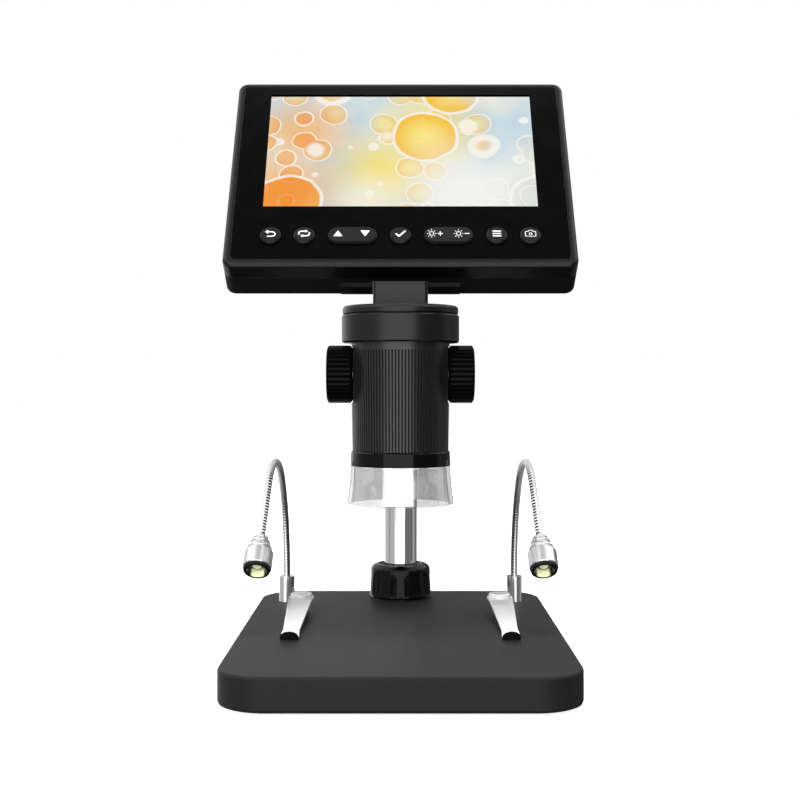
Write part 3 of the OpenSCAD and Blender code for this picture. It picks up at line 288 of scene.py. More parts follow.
def ribbed(name, colour, piece, axis, roughness, specular, taper=0.0, length=1.0):
    """Moulded ribs round an axis: satin on their ridges, dull down in the grooves, which get
    painted shade.

    Over `length` from its lower end the piece is narrower, by `taper` in radius at that end.
    """
    tree = Shading(name)
    low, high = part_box(piece)
    from_middle = tree.vector("SUBTRACT", tree.coords, middle_of(piece))
    from_axis = tree.vector("LENGTH", tree.vector("CROSS_PRODUCT", from_middle, axis))
    narrowing = tree.span(tree.split(tree.coords)["Z"], low.z, low.z + length, taper, 0.0)
    ridge_r = (high.y - low.y) / 2
    ridge = tree.span(tree.total(from_axis, narrowing), ridge_r - 0.6 * KNURL,
                      ridge_r - 0.2 * KNURL)
    normal = tree.bump(tree.noise(0.25 * MM, 2.0), 0.006 * MM, tree.soft_edges(0.1 * MM))
    # Painted shade: the colour in the grooves drops to a twentieth of the ridges' colour
    return tree.principled(Base_Color=tree.mix(ridge, tinted(colour, 0.05), colour),
                           Roughness=tree.span(ridge, 0.0, 1.0, 0.9, roughness),
                           Specular_IOR_Level=specular, Normal=normal)


def polished(name, colour, roughness, smear=0.04, stretch=(1, 1, 1)):
    """Polished or plated metal: faint smears in its gloss and the slightest waviness."""
    tree = Shading(name)
    cloud = tree.noise(6 * MM, stretch=stretch)
    normal = tree.bump(tree.noise(12 * MM, 1.0, stretch), 0.004 * MM, tree.soft_edges(0.12 * MM))
    return tree.principled(Base_Color=tree.mix(cloud, tinted(colour, 0.97), colour), Metallic=1.0,
                           Roughness=tree.span(cloud, 0.35, 0.75, roughness, roughness + smear),
                           Normal=normal)


def turned_chrome(name, axis):
    """Chromed turned part: its reflections spread along its axis."""
    tree = Shading(name)
    cloud = tree.noise(5 * MM, 2.0)
    return tree.principled(Base_Color=tree.mix(cloud, (0.94, 0.94, 0.945), (0.98, 0.98, 0.985)),
                           Metallic=1.0, Roughness=tree.span(cloud, 0.3, 0.7, 0.29, 0.33),
                           Anisotropic=0.9, Normal=tree.soft_edges(0.1 * MM),
                           Tangent=tree.add("CombineXYZ", {"X": axis.x, "Y": axis.y, "Z": axis.z}))


def strip_with_painted_tip():
    """Bright spring strip whose upturned tip is painted black, a painted reflection of the dark
    base it faces.
    """
    tree = Shading("bright_strip")
    tip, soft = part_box("clip_spring_left")[0].y + PAINTED_TIP_LENGTH, 0.1 * MM
    # Painted reflection: black and not metallic from the tip back to this length
    painted_tip = tree.span(tree.split(tree.coords)["Y"], tip - soft, tip + soft, 1, 0)
    bright = tree.mix(tree.noise(6 * MM), (0.94, 0.935, 0.945), (0.97, 0.965, 0.975))
    return tree.principled(Base_Color=tree.mix(painted_tip, bright, (0.006, 0.006, 0.006)),
                           Metallic=tree.span(painted_tip, 0.0, 1.0, 0.2, 0.0),
                           Roughness=tree.span(painted_tip, 0.0, 1.0, 0.16, 0.25),
                           Normal=tree.soft_edges(0.12 * MM))


def machined(name, colour, roughness):
    """Turned or ground steel with fine lines."""
    tree = Shading(name)
    lines = tree.noise(0.35 * MM, 2.0, (0.2, 1, 4))
    return tree.principled(Base_Color=tree.mix(lines, tinted(colour, 0.86), colour), Metallic=1.0,
                           Roughness=roughness,
                           Normal=tree.bump(lines, 0.01 * MM, tree.soft_edges(0.1 * MM)))


def solder_mask(name, colour):
    """Circuit board: tracks under a glossy mask."""
    tree = Shading(name)
    to_edge = tree.add("TexVoronoi", {"Vector": tree.coords, "Scale": 1 / (2.4 * MM)}, "Distance",
                       feature="DISTANCE_TO_EDGE", distance="CHEBYCHEV")
    track = tree.span(to_edge, 0.03, 0.06)
    return tree.principled(Base_Color=tree.mix(track, tinted(colour, 1.9), colour), Roughness=0.3,
                           Normal=tree.bump(track, 0.03 * MM))


def clear_plastic(name, tint, haze, shine):
    """Thin clear wall: each face lets light through, mirrors a share and holds a little haze."""
    tree = Shading(name)
    slant = tree.math("POWER", tree.add("LayerWeight", {"Blend": 0.5}, "Facing"), 5.0)
    through = tree.shader("BsdfTransparent", Color=tree.mix(slant, tint, tinted(tint, 0.55)))
    milk = tree.shader("BsdfDiffuse", Color=(0.8, 0.81, 0.82))
    gloss = tree.shader("BsdfGlossy", Color=(1, 1, 1), Roughness=0.08)
    veil = tree.span(tree.noise(4 * MM, 2.0), 0.3, 0.7, haze * 0.85, haze * 1.15)
    skin = tree.span(tree.noise(7 * MM, 2.0), 0.3, 0.7, shine * 0.95, shine * 1.05)
    return tree.show(tree.mix_shaders(skin, tree.mix_shaders(veil, through, milk), gloss))


def coated_glass():
    """Glass of the objective, with a faint violet and blue coating."""
    tree = Shading("coated_glass")
    shade = tree.mix(tree.noise(3 * MM), (0.3, 0.36, 0.5), (0.42, 0.4, 0.5))
    return tree.principled(Base_Color=shade, Roughness=0.05, Transmission_Weight=0.7, IOR=1.5)


def glowing(name, colour, strength):
    """LED phosphor: a lit surface with an uneven grain."""
    tree = Shading(name)
    shade = tree.mix(tree.noise(0.6 * MM, 2.0), tinted(colour, 0.9), colour)
    return tree.principled(Base_Color=shade, Roughness=0.4, Emission_Color=shade,
                           Emission_Strength=strength)


def face_coordinates(tree):
    """Coordinates in the screen's face: x right, y up from the lower edge, z out, in metres."""
    return tree.add("Mapping", {"Vector": tree.coords, "Location": face_origin,
                                "Rotation": (math.pi / 2 - SCREEN_LEAN, 0, 0)},
                    vector_type="TEXTURE")


def picture_mask(tree, x, y, margin=0.0):
    """1 inside the picture area and its margin, 0 outside."""
    edge = 0.06 * MM
    half_w, half_h = PICTURE_W / 2 + margin, PICTURE_H / 2 + margin
    across = tree.span(tree.math("ABSOLUTE", x), half_w - edge, half_w + edge, 1, 0)
    along = tree.span(tree.apart(y, PICTURE_MIDDLE), half_h - edge, half_h + edge, 1, 0)
    return tree.product(across, along)


def window_material():
    """Front panel: black print on its back, clear over the picture."""
    tree = Shading("front_panel")
    x, y, _ = tree.split(face_coordinates(tree))
    clear = picture_mask(tree, x, y)
    shade = tree.mix(tree.noise(15 * MM, 2.0), (0.0016, 0.0016, 0.0017), (0.002, 0.002, 0.0021))
    return tree.principled(Base_Color=shade, Specular_IOR_Level=0.2,
                           Roughness=tree.span(tree.noise(8 * MM), 0.3, 0.7, 0.1, 0.16),
                           Alpha=tree.math("SUBTRACT", 1.0, tree.product(clear, 0.97)))


def picture_material():
    """A lit picture of plant cells in warm yellows over cream and pale blue."""
    cream, white = (1.0, 0.93, 0.76), (1.0, 0.985, 0.93)
    tree = Shading("lit_picture")
    place = face_coordinates(tree)
    x, y, _ = tree.split(place)
    across = tree.math("DIVIDE", x, PICTURE_W / 2)
    along = tree.math("DIVIDE", tree.math("SUBTRACT", y, PICTURE_MIDDLE), PICTURE_H / 2)

    def glow(at_x, at_y, radius):
        """Soft spot of 1 at a place of the picture, in halves of its width and height."""
        off_x = tree.math("SUBTRACT", across, at_x)
        off_y = tree.product(tree.math("SUBTRACT", along, at_y), PICTURE_H / PICTURE_W)
        return tree.span(tree.distance(off_x, off_y), 0.0, radius, 1, 0, smooth=True)

    def over(under, colour, where, share):
        """A colour laid over the picture at places."""
        return tree.mix(tree.product(where, share), under, colour)

    shade = tree.mix(tree.noise(20 * MM, 2.0), (0.3, 0.6, 0.86), cream)
    amber = tree.math("MAXIMUM", glow(-0.9, -0.7, 0.7), glow(-0.75, 0.35, 0.55))
    gold = tree.math("MAXIMUM", glow(0.22, 0.35, 0.6), glow(-0.15, -0.35, 0.6))
    near = tree.math("MAXIMUM", amber, gold)
    shade = over(shade, (1.0, 0.8, 0.14), gold, 0.85)
    shade = over(shade, (1.0, 0.5, 0.1), amber, 0.8)

    wobble = tree.add("TexNoise", {"Vector": place, "Scale": 1 / (11 * MM)}, "Color")
    warped = tree.vector("MULTIPLY_ADD", wobble, (2.5 * MM, 2.5 * MM, 0), place)
    for size, strength in ((11 * MM, 0.55), (27 * MM, 0.85)):
        far = tree.add("TexVoronoi", {"Vector": warped, "Scale": 1 / size}, "Distance")
        # Each round cell: pale yellow within, deep yellow towards its skin, a bright skin
        fill = tree.mix(tree.span(far, 0.1, 0.42), (1.0, 0.9, 0.3), (0.98, 0.55, 0.02))
        fill = tree.mix(tree.span(amber, 0.2, 0.8), fill, (0.95, 0.3, 0.02))
        cell = tree.span(far, 0.45, 0.48, strength, 0)
        shade = over(shade, fill, cell, tree.span(near, 0.0, 0.3, 0.15, 1))
        skin = tree.span(tree.apart(far, 0.46), 0.012, 0.03, 1, 0, smooth=True)
        shade = over(shade, white, skin, 0.8)
        kernel = tree.span(far, 0.04, 0.12, 1, 0, smooth=True)
        shade = over(shade, (0.98, 0.55, 0.05), kernel, tree.product(near, 0.7))

    shade = over(shade, white, glow(0.5, -0.75, 0.75), 0.85)
    shade = over(shade, (1.0, 0.97, 0.85), glow(-0.25, -0.8, 0.35), 0.6)
    lit = tree.shader("Emission", Color=shade)
    dark = tree.shader("BsdfPrincipled", Base_Color=(0.01, 0.01, 0.01))
    return tree.show(tree.mix_shaders(picture_mask(tree, x, y, PICTURE_HIDDEN), dark, lit))


def across_lamp(tree, side):
    """Places across a lamp head, from its axis: to the right and up, in radii of the lens."""
    axis = lamp_axis(side)
    right = UP.cross(axis).normalized()
    if right.x < 0:
        right.negate()
    upward = axis.cross(right)
    if upward.z < 0:
        upward.negate()
    from_middle = tree.vector("SUBTRACT", tree.coords, middle_of("lamp_lens_" + side))
    return [tree.vector("DOT_PRODUCT", from_middle, way / LENS_R) for way in (right, upward)]


def reflector_pale(tree):
    """Colour of the faceted reflector behind a lamp's lens, in uneven pale yellow, painted onto
    the lens and, as a painted reflection, onto the bezel.
    """
    return tree.mix(tree.noise(0.8 * MM), (0.66, 0.7, 0.36), (0.86, 0.88, 0.6))


def lens_material(side):
    """Lamp lens painted with a view of its reflector: a pale middle, a dark ring round it and pale
    arcs outside, and a glow of painted light.
    """
    tree = Shading("lamp_lens_" + side)
    right, up = across_lamp(tree, side)
    # The rings sit a little over the lamp's axis
    far = tree.distance(right, tree.math("SUBTRACT", up, 0.12))

    def ring(radius, width):
        return tree.span(tree.apart(far, radius), width / 2, width, 1, 0)

    shade = tree.mix(ring(0.78, 0.09), (0.012, 0.013, 0.01), (0.66, 0.68, 0.56))
    shade = tree.mix(tree.span(far, 0.42, 0.46, 1, 0), shade, reflector_pale(tree))
    shade = tree.mix(ring(0.56, 0.12), shade, (0.005, 0.005, 0.005))
    # A glow of painted light, which lifts the lens out of the shade it sits in
    return tree.principled(Base_Color=shade, Roughness=0.12, Emission_Color=shade,
                           Emission_Strength=0.5)


def bezel_material(side):
    """Black front ring of a lamp, with a painted reflection of the lit reflector on the lower wall
    inside it.
    """
    tree = Shading("lamp_bezel_" + side)
    right, up = across_lamp(tree, side)
    inside = tree.span(tree.distance(right, up), 1.03, 1.07, 1, 0)
    lower = tree.span(up, -0.62, -0.55, 1, 0)
    middle = tree.span(tree.math("ABSOLUTE", right), 0.48, 0.76, 1, 0, smooth=True)
    # Painted reflection of the lit reflector, on the middle of the lower wall inside the ring
    lit = tree.product(tree.product(inside, lower), middle)
    shade = tree.mix(lit, (0.003, 0.003, 0.003), reflector_pale(tree))
    # The painted reflection glows a little, as painted light
    return tree.principled(Base_Color=shade, Roughness=0.3, Specular_IOR_Level=0.3,
                           Emission_Color=shade, Emission_Strength=0.5,
                           Normal=tree.soft_edges(0.08 * MM))


def wound_wire():
    """Wound wire of a gooseneck, white where it comes forward as a painted highlight, with painted
    shade in the gaps between turns and on its inner side.

    It reads values kept on the mesh's points, which stay in place when the neck bends.
    """
    white, black = (0.95, 0.952, 0.955), (0.004, 0.004, 0.004)
    tree = Shading("wound_wire")
    turns, down, behind, inward = (tree.add("Attribute", {}, "Fac", attribute_name=name)
                                   for name in WIRE_VALUES)
    forward = tree.span(behind, 4 * MM, 21 * MM, 1, 0, smooth=True)
    gap = tree.span(tree.apart(tree.math("FRACT", turns), 0.5), 0.17, 0.25)
    # Inner half of the tube, towards the stand's middle plane
    inner = tree.span(inward, 0.0, 0.25)
    # Painted shade in the gaps between turns, deeper on the inner half, where the neck falls
    # towards the lamp head
    depth = tree.product(gap, tree.span(inner, 0.0, 1.0, 0.18, 1.0))
    dark = tree.product(depth, tree.product(tree.span(down, 3 * MM, 12 * MM), forward))
    # Painted shade on the inner side of the neck behind its crown
    painted_side_shade = tree.product(tree.span(behind, 3 * MM, 15 * MM), inner)
    pale = tree.mix(tree.product(painted_side_shade, 0.8), white, (0.12, 0.12, 0.122))
    shade = tree.mix(dark, tree.mix(tree.noise(4 * MM), pale, white, "MULTIPLY"), black)
    # Where the wire comes forward it is white and barely metallic, a painted highlight; further
    # back it is metal
    return tree.principled(Base_Color=shade, Specular_IOR_Level=0.1,
                           Metallic=tree.span(behind, 9 * MM, 24 * MM, 0.15, 0.97),
                           Roughness=tree.span(tree.noise(2 * MM), 0.3, 0.7, 0.14, 0.2))


BLACK = (0.0045, 0.0045, 0.0047)
KNOB_BLACK = (0.002, 0.002, 0.0021)
materials = {
    "base_grey": moulded("base_paint", (0.015, 0.015, 0.0158), 0.5, grain=0.3 * MM,
                         depth=0.004 * MM, specular=0.17, mottle=0.05, uneven=0.02),
    "satin_black": moulded("satin_black", BLACK, 0.36),
    "shell_black": moulded("shell_black", (0.0025, 0.0025, 0.0026), 0.3, grain=0.2 * MM,
                           depth=0.003 * MM, specular=0.4),
    "matte_black": moulded("matte_black", BLACK, 0.6, grain=0.3 * MM, depth=0.01 * MM,
                           specular=0.15),
    "gloss_black": moulded("gloss_black", (0.0015, 0.0015, 0.0016), 0.1, grain=2 * MM,
                           depth=0.004 * MM, specular=0.22),
    "knob_black": moulded("knob_black", KNOB_BLACK, 0.38, specular=0.2),
    "grip_black": ribbed("grip_black", (0.004, 0.004, 0.0042), "barrel", UP, 0.3, 0.75,
                         taper=GRIP_TAPER, length=GRIP_H),
    "knob_ribs": ribbed("knob_ribs", KNOB_BLACK, "focus_knob_left", (1, 0, 0), 0.3, 0.09),
    "ring_black": moulded("ring_black", BLACK, 0.3, specular=0.46),
    "inner_black": moulded("inner_black", (0.02, 0.02, 0.021), 0.6),
    "bush_grey": moulded("bush_grey", (0.03, 0.03, 0.032), 0.45),
    "rubber": moulded("rubber", (0.012, 0.012, 0.012), 0.8, grain=0.4 * MM, depth=0.02 * MM),
    "key_grey": moulded("key_grey", BLACK, 0.4, specular=0.3),
    "white_board": moulded("white_board", (0.85, 0.85, 0.82), 0.4),
    "cell": moulded("cell_wrap", (0.05, 0.08, 0.2), 0.35),
    "ballast": machined("blackened_iron", (0.12, 0.12, 0.125), 0.5),
    "zinc_screw": machined("zinc", (0.45, 0.46, 0.47), 0.32),
    "steel": machined("steel", (0.5, 0.51, 0.52), 0.3),
    "chrome": polished("post_chrome", (0.94, 0.945, 0.95), 0.03, 0.02, stretch=(1, 1, 0.2)),
    "lamp_chrome": polished("lamp_chrome", (0.96, 0.965, 0.97), 0.07),
    "spring_steel": strip_with_painted_tip(),
    "board": solder_mask("board_mask", (0.02, 0.12, 0.06)),
    "clear_cup": clear_plastic("clear_cup", (0.93, 0.932, 0.935), 0.03, 0.38),
    "glass": coated_glass(),
    "wound_wire": wound_wire(),
    "window": window_material(),
    "screen_picture": picture_material(),
    "led_dome": glowing("led_phosphor", (1.0, 0.98, 0.92), 1.2),
}
# Nodes that don't take the material of their slot
own_material = {"barrel": materials["grip_black"], "rear_cover": materials["matte_black"],
                "bracket": materials["ring_black"], "top_cap": materials["ring_black"]}
for side in SIDES:
    own_material["focus_knob_" + side] = materials["knob_ribs"]
    own_material["lamp_head_" + side] = turned_chrome("turned_chrome_" + side, lamp_axis(side))
    own_material["lamp_bezel_" + side] = bezel_material(side)
    own_material["lamp_lens_" + side] = lens_material(side)

for part in frame["record"]["subparts"]:
    node = part["node"]
    material = own_material[node] if node in own_material else materials[part["material_slot"]]
    nodes[node].data.materials.clear()
    nodes[node].data.materials.append(material)

# Bright metal mirrors the studio alone, as in the photograph, and not these large dark pieces
for name in ("base_shell", "rear_cover", "front_bezel"):
    nodes[name].visible_glossy = False


# ------------------------------------------------------------------ goosenecks

def new_object(name, build, material):
    """A mesh object made by build(bmesh)."""
    mesh = bpy.data.meshes.new(name)
    shape = bmesh.new()
    build(shape)
    shape.to_mesh(mesh)
    shape.free()
    mesh.materials.append(material)
    piece = bpy.data.objects.new(name, mesh)
    bpy.context.scene.collection.objects.link(piece)
    return piece


def neck_frames(side):
    """Points of the neck's path, from its socket to the lamp head, as (point, along, across)."""
    point = foot_of(side)
    point.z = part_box("lamp_stem_" + side)[0].z
    out = outwards(side)
    across = UP.cross(out)
    # The stem leans over in a bow, which rises by what the parts after it leave
    bow_rise = STEM_RISE - LEAN_RUN * math.cos(STEM_LEAN) - ARCH_R * (1 - math.sin(STEM_LEAN))
    bow_r = bow_rise / math.sin(STEM_LEAN)
    over = math.pi / 2 - STEM_LEAN + REACH_SLOPE
    # Turn and length of each part of the path
    parts = [(0, crown_of(side).z - STEM_RISE - point.z), (STEM_LEAN, bow_r * STEM_LEAN),
             (0, LEAN_RUN), (over, ARCH_R * over), (0, REACH + INTO_HEAD)]

    def direction(angle):
        return math.cos(angle) * UP + math.sin(angle) * out

    heading, frames = 0.0, []
    for turn, length in parts:
        for i in range(PATH_STEPS):
            frames.append((point.copy(), direction(heading + turn * i / PATH_STEPS), across))
            point += length / PATH_STEPS * direction(heading + turn * (i + 0.5) / PATH_STEPS)
        heading += turn
    frames.append((point.copy(), direction(heading), across))
    return frames


def even_steps(frames, pitch):
    """The same path at even steps of about `pitch`, as (distance, point, along, across)."""
    lengths = [0.0]
    for a, b in zip(frames, frames[1:]):
        lengths.append(lengths[-1] + (b[0] - a[0]).length)
    count = int(lengths[-1] / pitch)
    found, k = [], 0
    for i in range(count + 1):
        gone = lengths[-1] * i / count
        while k < len(lengths) - 2 and lengths[k + 1] < gone:
            k += 1
        share = (gone - lengths[k]) / (lengths[k + 1] - lengths[k])
        point, along, across = (a.lerp(b, share) for a, b in zip(frames[k], frames[k + 1]))
        found.append((gone, point, along.normalized(), across))
    return found


def gooseneck(side):
    """Flexible metal tube of wound wire: a groove between every two turns."""
    crown, axis = crown_of(side), lamp_axis(side)
    inwards = -math.copysign(1, crown.x)

    def build(shape):
        layers = [shape.verts.layers.float.new(name) for name in WIRE_VALUES]
        rings = []
        for gone, point, along, across in even_steps(neck_frames(side), COIL / RINGS_PER_COIL):
            phase = (gone % COIL) / COIL
            radius = NECK_R - GROOVE * (1 - math.sin(math.pi * phase) ** GROOVE_SHAPE)
            other = along.cross(across).normalized()
            values = [gone / COIL, (point - crown).dot(axis), point.y - crown.y]
            ring = []
            for k in range(RING_POINTS):
                angle = 2 * math.pi * k / RING_POINTS
                outward = math.cos(angle) * across + math.sin(angle) * other
                vert = shape.verts.new(point + radius * outward)
                for layer, value in zip(layers, values + [inwards * outward.x]):
                    vert[layer] = value
                ring.append(vert)
            rings.append(ring)
        for low, high in zip(rings, rings[1:]):
            for i in range(RING_POINTS):
                j = (i + 1) % RING_POINTS
                shape.faces.new((low[i], low[j], high[j], high[i]))
        shape.faces.new(rings[0][::-1])
        shape.faces.new(rings[-1])
        for face in shape.faces:
            face.smooth = len(face.verts) == 4
        bmesh.ops.recalc_face_normals(shape, faces=shape.faces)

    piece = new_object("gooseneck_" + side, build, materials["wound_wire"])
    heading = middle_of("lamp_head_" + side) - crown
    heading.z = 0
    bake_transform(piece)
    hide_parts("lamp_stem_" + side, "lamp_neck_" + side)


for side in SIDES:
    gooseneck(side)


# ------------------------------------------------------------------ key pictograms

def arc(cx, cy, rx, ry, start, end, steps=14):
    """Points of an ellipse's arc, its angles in degrees."""
    angles = [math.radians(start + (end - start) * i / steps) for i in range(steps + 1)]
    return [(cx + rx * math.cos(a), cy + ry * math.sin(a)) for a in angles]


def ribbon(points, width, closed=False):
    """Quads of a line of that width with mitred corners."""
    count = len(points)
    pairs = []
    for i, point in enumerate(points):
        before = points[i - 1] if closed or i > 0 else None
        after = points[(i + 1) % count] if closed or i < count - 1 else None
        normals = []
        for a, b in ((before, point), (point, after)):
            if a is not None and b is not None:
                way = Vector((b[0] - a[0], b[1] - a[1])).normalized()
                normals.append(Vector((-way.y, way.x)))
        mitre = sum(normals, Vector((0, 0)))
        mitre = mitre / mitre.dot(normals[0]) if len(normals) == 2 else normals[0]
        pairs.append((Vector(point) + mitre * width / 2, Vector(point) - mitre * width / 2))
    following = pairs[1:] + pairs[:1] if closed else pairs[1:]
    return [[a[0], b[0], b[1], a[1]] for a, b in zip(pairs, following)]


def half_turned(outlines):
    """The outlines again, turned by half a turn."""
    return [[(-x, -y) for x, y in outline] for outline in outlines]


def sun(cx):
    """A ring with eight rays."""
    inner, outer = arc(cx, 0, 1.12, 1.3, 0, 315, 7), arc(cx, 0, 1.62, 1.88, 0, 315, 7)
    rays = [quad for ends in zip(inner, outer) for quad in ribbon(ends, 0.22)]
    return ribbon(arc(cx, 0, 0.7, 0.82, 0, 337.5, 15), 0.22, closed=True) + rays


# Outlines of each print, in millimetres round the middle of its key
return_line = ([(-1.0, 0.75), (0.45, 0.75)] + arc(0.45, -0.25, 1.15, 1.0, 80, -90)
               + [(-1.1, -1.25)])
return_head = [(-1.85, 0.75), (-0.75, 1.6), (-0.75, -0.1)]
switch_line = [(-1.75, -0.5)] + arc(-1.0, 0.1, 0.8, 0.9, 200, 90, 6) + [(0.5, 1.0)]
switch_head = [(1.3, 1.0), (0.4, 1.65), (0.4, 0.35)]
switch_arrow = ribbon(switch_line, 0.5) + [switch_head]
plus = (ribbon([(-3.65, 0), (-1.95, 0)], 0.32) + ribbon([(-2.8, -1.0), (-2.8, -0.16)], 0.26)
        + ribbon([(-2.8, 0.16), (-2.8, 1.0)], 0.26))
minus = ribbon([(5.4, 0), (7.1, 0)], 0.32)
camera_body = [(-1.6, -1.25), (1.6, -1.25), (1.75, -1.1), (1.75, 0.75), (1.6, 0.9), (0.85, 0.9),
               (0.5, 1.4), (-0.5, 1.4), (-0.85, 0.9), (-1.6, 0.9), (-1.75, 0.75), (-1.75, -1.1)]
PRINTS = {
    "key_back": ribbon(return_line, 0.42) + [return_head],
    "key_switch": switch_arrow + half_turned(switch_arrow),
    "key_updown": [[(-6.45, -1.2), (-3.35, -1.2), (-4.9, 1.3)],
                   [(2.75, 1.3), (5.85, 1.3), (4.3, -1.2)]],
    "key_ok": ribbon([(-1.6, 0.0), (-0.5, -1.15), (1.7, 1.2)], 0.55),
    "key_light": sun(-5.7) + plus + sun(3.4) + minus,
    "key_menu": [quad for y in (-1.05, 0, 1.05) for quad in ribbon([(-1.45, y), (1.45, y)], 0.46)],
    "key_camera": (ribbon(camera_body, 0.22, closed=True)
                   + ribbon(arc(0, -0.15, 0.45, 0.5, 0, 330, 11), 0.22, closed=True)),
}


def pictogram(key, outlines):
    """Flat white print on a key."""

    def build(shape):
        for outline in outlines:
            flat = [face_point((KEY_X[key] + x) * MM, KEY_RISE + INK_RISE + y * MM, KEY_PROUD)
                    for x, y in outline]
            low = [shape.verts.new(p - INK_ROOT * face_out) for p in flat]
            high = [shape.verts.new(p + INK_LIFT * face_out) for p in flat]
            shape.faces.new(low[::-1])
            shape.faces.new(high)
            for i in range(len(flat)):
                j = (i + 1) % len(flat)
                shape.faces.new((low[i], low[j], high[j], high[i]))
        bmesh.ops.remove_doubles(shape, verts=shape.verts, dist=WELD)
        bmesh.ops.recalc_face_normals(shape, faces=shape.faces)

    piece = new_object("print_" + key, build, ink)
    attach(piece, key)


ink = moulded("white_ink", (0.86, 0.87, 0.88), 0.5, grain=0.1 * MM, depth=0.002 * MM, mottle=0.03)
for key, outlines in PRINTS.items():
    pictogram(key, outlines)


# ------------------------------------------------------------------ studio

FULL_TURN, HALF_TURN = 360, 180
# A colour ramp ends at 1, so levels are written as half of what they give, and doubled after it
LEVEL_SCALE = 2.0
# Levels of the studio that shiny surfaces mirror, as (degrees, level). Bearings run from straight
# behind (-180) by the left (-90) to the front (0), and by the right (90) to behind again (180).
PANELS = [(-180, 0.3), (-160, 0.32), (-148, 0.55), (-137, 0.4), (-118, 0.24), (-90, 0.18),
          (-60, 0.2), (-41, 0.19), (-38.5, 0.8), (28, 0.8), (30.5, 0.055), (92, 0.04),
          (96, 0.15), (112, 0.15), (115, 0.08), (131, 0.06), (135, 0.045), (180, 0.045)]
# Upper boxes on both sides, dimmer in front and behind
BOXES = [(-180, 0.3), (-150, 0.3), (-135, 0.65), (-45, 0.65), (-25, 0.45),
         (25, 0.45), (45, 0.65), (135, 0.65), (150, 0.3), (180, 0.3)]
# Ceiling over the sides and the rear, which leaves out what the tilted screen mirrors
CEILING = [(-180, 0.62), (-95, 0.62), (-65, 0.0), (65, 0.0), (95, 0.62), (180, 0.62)]
# How much of each shows at a height, from straight down (-90) to straight up (90)
PANELS_HEIGHT = [(-90, 0.0), (-52, 0.0), (-40, 1.0), (19, 1.0), (24, 0.0), (90, 0.0)]
BOXES_HEIGHT = [(-90, 0.0), (19, 0.0), (24, 1.0), (60, 1.0), (70, 0.0), (90, 0.0)]
CEILING_HEIGHT = [(-90, 0.0), (60, 0.0), (70, 1.0), (90, 1.0)]
ZENITH = [(-90, 0.0), (79, 0.0), (84, 0.62), (90, 0.62)]
MIRRORED_LEAST = 0.05    # what a shiny surface mirrors everywhere
AMBIENT = 0.3            # light from the world on matt surfaces

# Name, place, size across and power of each soft lamp
SOFT_LAMPS = (("overhead", (0.05, -0.1, 1.1), 0.5, 16),
              ("front_fill", (-0.3, -0.9, 0.5), 0.4, 9))
LAMP_TARGET = (0, 0, 0.05)
FLOOR_R, FLOOR_SIDES = 3.0, 96

# The photograph's camera, found from the picture's width and the widths of the outline
CAMERA_PLACE = (0, -451.5 * MM, 96.15 * MM)
CAMERA_LENS, CAMERA_SENSOR = 58.5, 36    # in millimetres, as Blender counts them
CAMERA_SHIFT = (-0.0006, -0.02)
CAMERA_NEAREST = 10 * MM


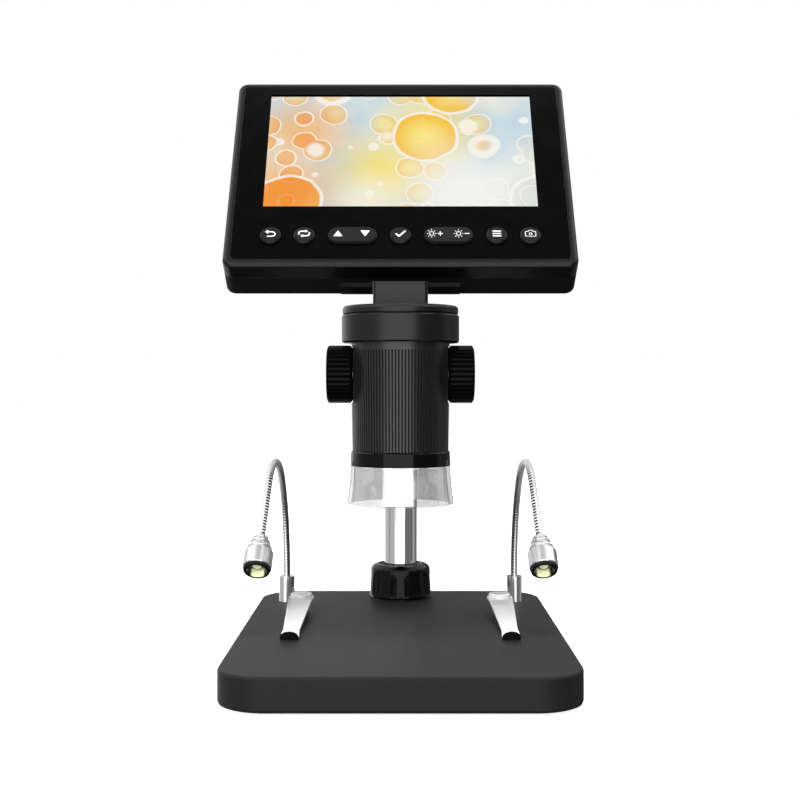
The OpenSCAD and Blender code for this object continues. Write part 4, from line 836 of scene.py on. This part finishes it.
def world():
    """White for the camera; for gloss a studio of panels round the object; dim for the rest."""
    tree = Tree(bpy.data.worlds.new("studio"))
    bpy.context.scene.world = tree.owner
    x, y, z = tree.split(tree.add("TexCoord", {}, "Generated"))
    bearing = tree.math("ARCTAN2", x, tree.product(y, -1.0))
    turn = tree.total(tree.math("DIVIDE", bearing, 2 * math.pi), 0.5)
    height = tree.total(tree.math("DIVIDE", tree.math("ARCSINE", z), math.pi), 0.5)

    def ramp(value, whole, stops):
        """Level at a bearing or height, which comes as a share of the whole turn."""
        colour = tree.add("ValToRGB", {"Fac": value}, "Color")
        elements = colour.node.color_ramp.elements
        elements.remove(elements[-1])
        for i, (degrees, level) in enumerate(stops):
            place = degrees / whole + 0.5
            element = elements[0] if i == 0 else elements.new(place)
            element.position = place
            element.color = (level, level, level, 1)
        return colour

    def band(round_it, up_it):
        """Levels by bearing, shown at some heights alone."""
        return tree.product(ramp(turn, FULL_TURN, round_it), ramp(height, HALF_TURN, up_it))

    sides = tree.total(band(PANELS, PANELS_HEIGHT), band(BOXES, BOXES_HEIGHT))
    overhead = tree.math("MAXIMUM", band(CEILING, CEILING_HEIGHT), ramp(height, HALF_TURN, ZENITH))
    levels = tree.product(tree.total(sides, overhead), LEVEL_SCALE)
    mirrored = tree.total(levels, MIRRORED_LEAST)

    path = tree.light_path()
    white = tree.math("MAXIMUM", path["Is Camera Ray"], path["Is Transmission Ray"])
    glossy = tree.product(path["Is Glossy Ray"], mirrored)
    matt = tree.product(tree.math("SUBTRACT", 1.0, path["Is Glossy Ray"]), AMBIENT)
    rest = tree.product(tree.math("SUBTRACT", 1.0, white), tree.total(glossy, matt))
    seen = tree.total(rest, white)
    background = tree.add("Background", {"Color": (1, 1, 1), "Strength": seen})
    output = tree.nodes.new("ShaderNodeOutputWorld")
    tree.feed(output.inputs["Surface"], background)


def lamp(name, place, size, power):
    """Soft lamp that lights by diffuse light and stays out of reflections."""
    data = bpy.data.lights.new(name, "AREA")
    data.shape = "DISK"
    data.size = size
    data.energy = power
    source = bpy.data.objects.new(name, data)
    source.location = place
    towards = Vector(LAMP_TARGET) - Vector(place)
    source.rotation_euler = towards.to_track_quat("-Z", "Y").to_euler()
    source.visible_glossy = False
    bpy.context.scene.collection.objects.link(source)


def floor():
    """Pale floor that blends into the white background and keeps a soft shadow."""
    tree = Shading("pale_floor")
    pale = tree.mix(tree.noise(60 * MM, 2.0), (0.78, 0.78, 0.78), (0.82, 0.82, 0.82))
    paint = tree.shader("BsdfDiffuse", Color=pale)
    for_camera = tree.product(tree.light_path()["Is Camera Ray"], 0.9)
    bright = tree.shader("Emission", Strength=for_camera)
    material = tree.show(tree.add("AddShader", {0: paint, 1: bright}))

    def build(shape):
        bmesh.ops.create_circle(shape, cap_ends=True, segments=FLOOR_SIDES, radius=FLOOR_R)

    piece = new_object("floor", build, material)
    piece.visible_glossy = False
    piece.visible_diffuse = False


def camera():
    """Level, in front and a little below the screen, as the photograph was taken."""
    data = bpy.data.cameras.new("camera")
    data.lens = CAMERA_LENS
    data.sensor_width = CAMERA_SENSOR
    data.shift_x, data.shift_y = CAMERA_SHIFT
    data.clip_start = CAMERA_NEAREST
    eye = bpy.data.objects.new("camera", data)
    eye.location = CAMERA_PLACE
    eye.rotation_euler = (math.pi / 2, 0, 0)
    bpy.context.scene.collection.objects.link(eye)
    bpy.context.scene.camera = eye


world()
for name, place, size, power in SOFT_LAMPS:
    lamp(name, place, size, power)
floor()
camera()
bpy.context.scene.view_settings.view_transform = "Standard"
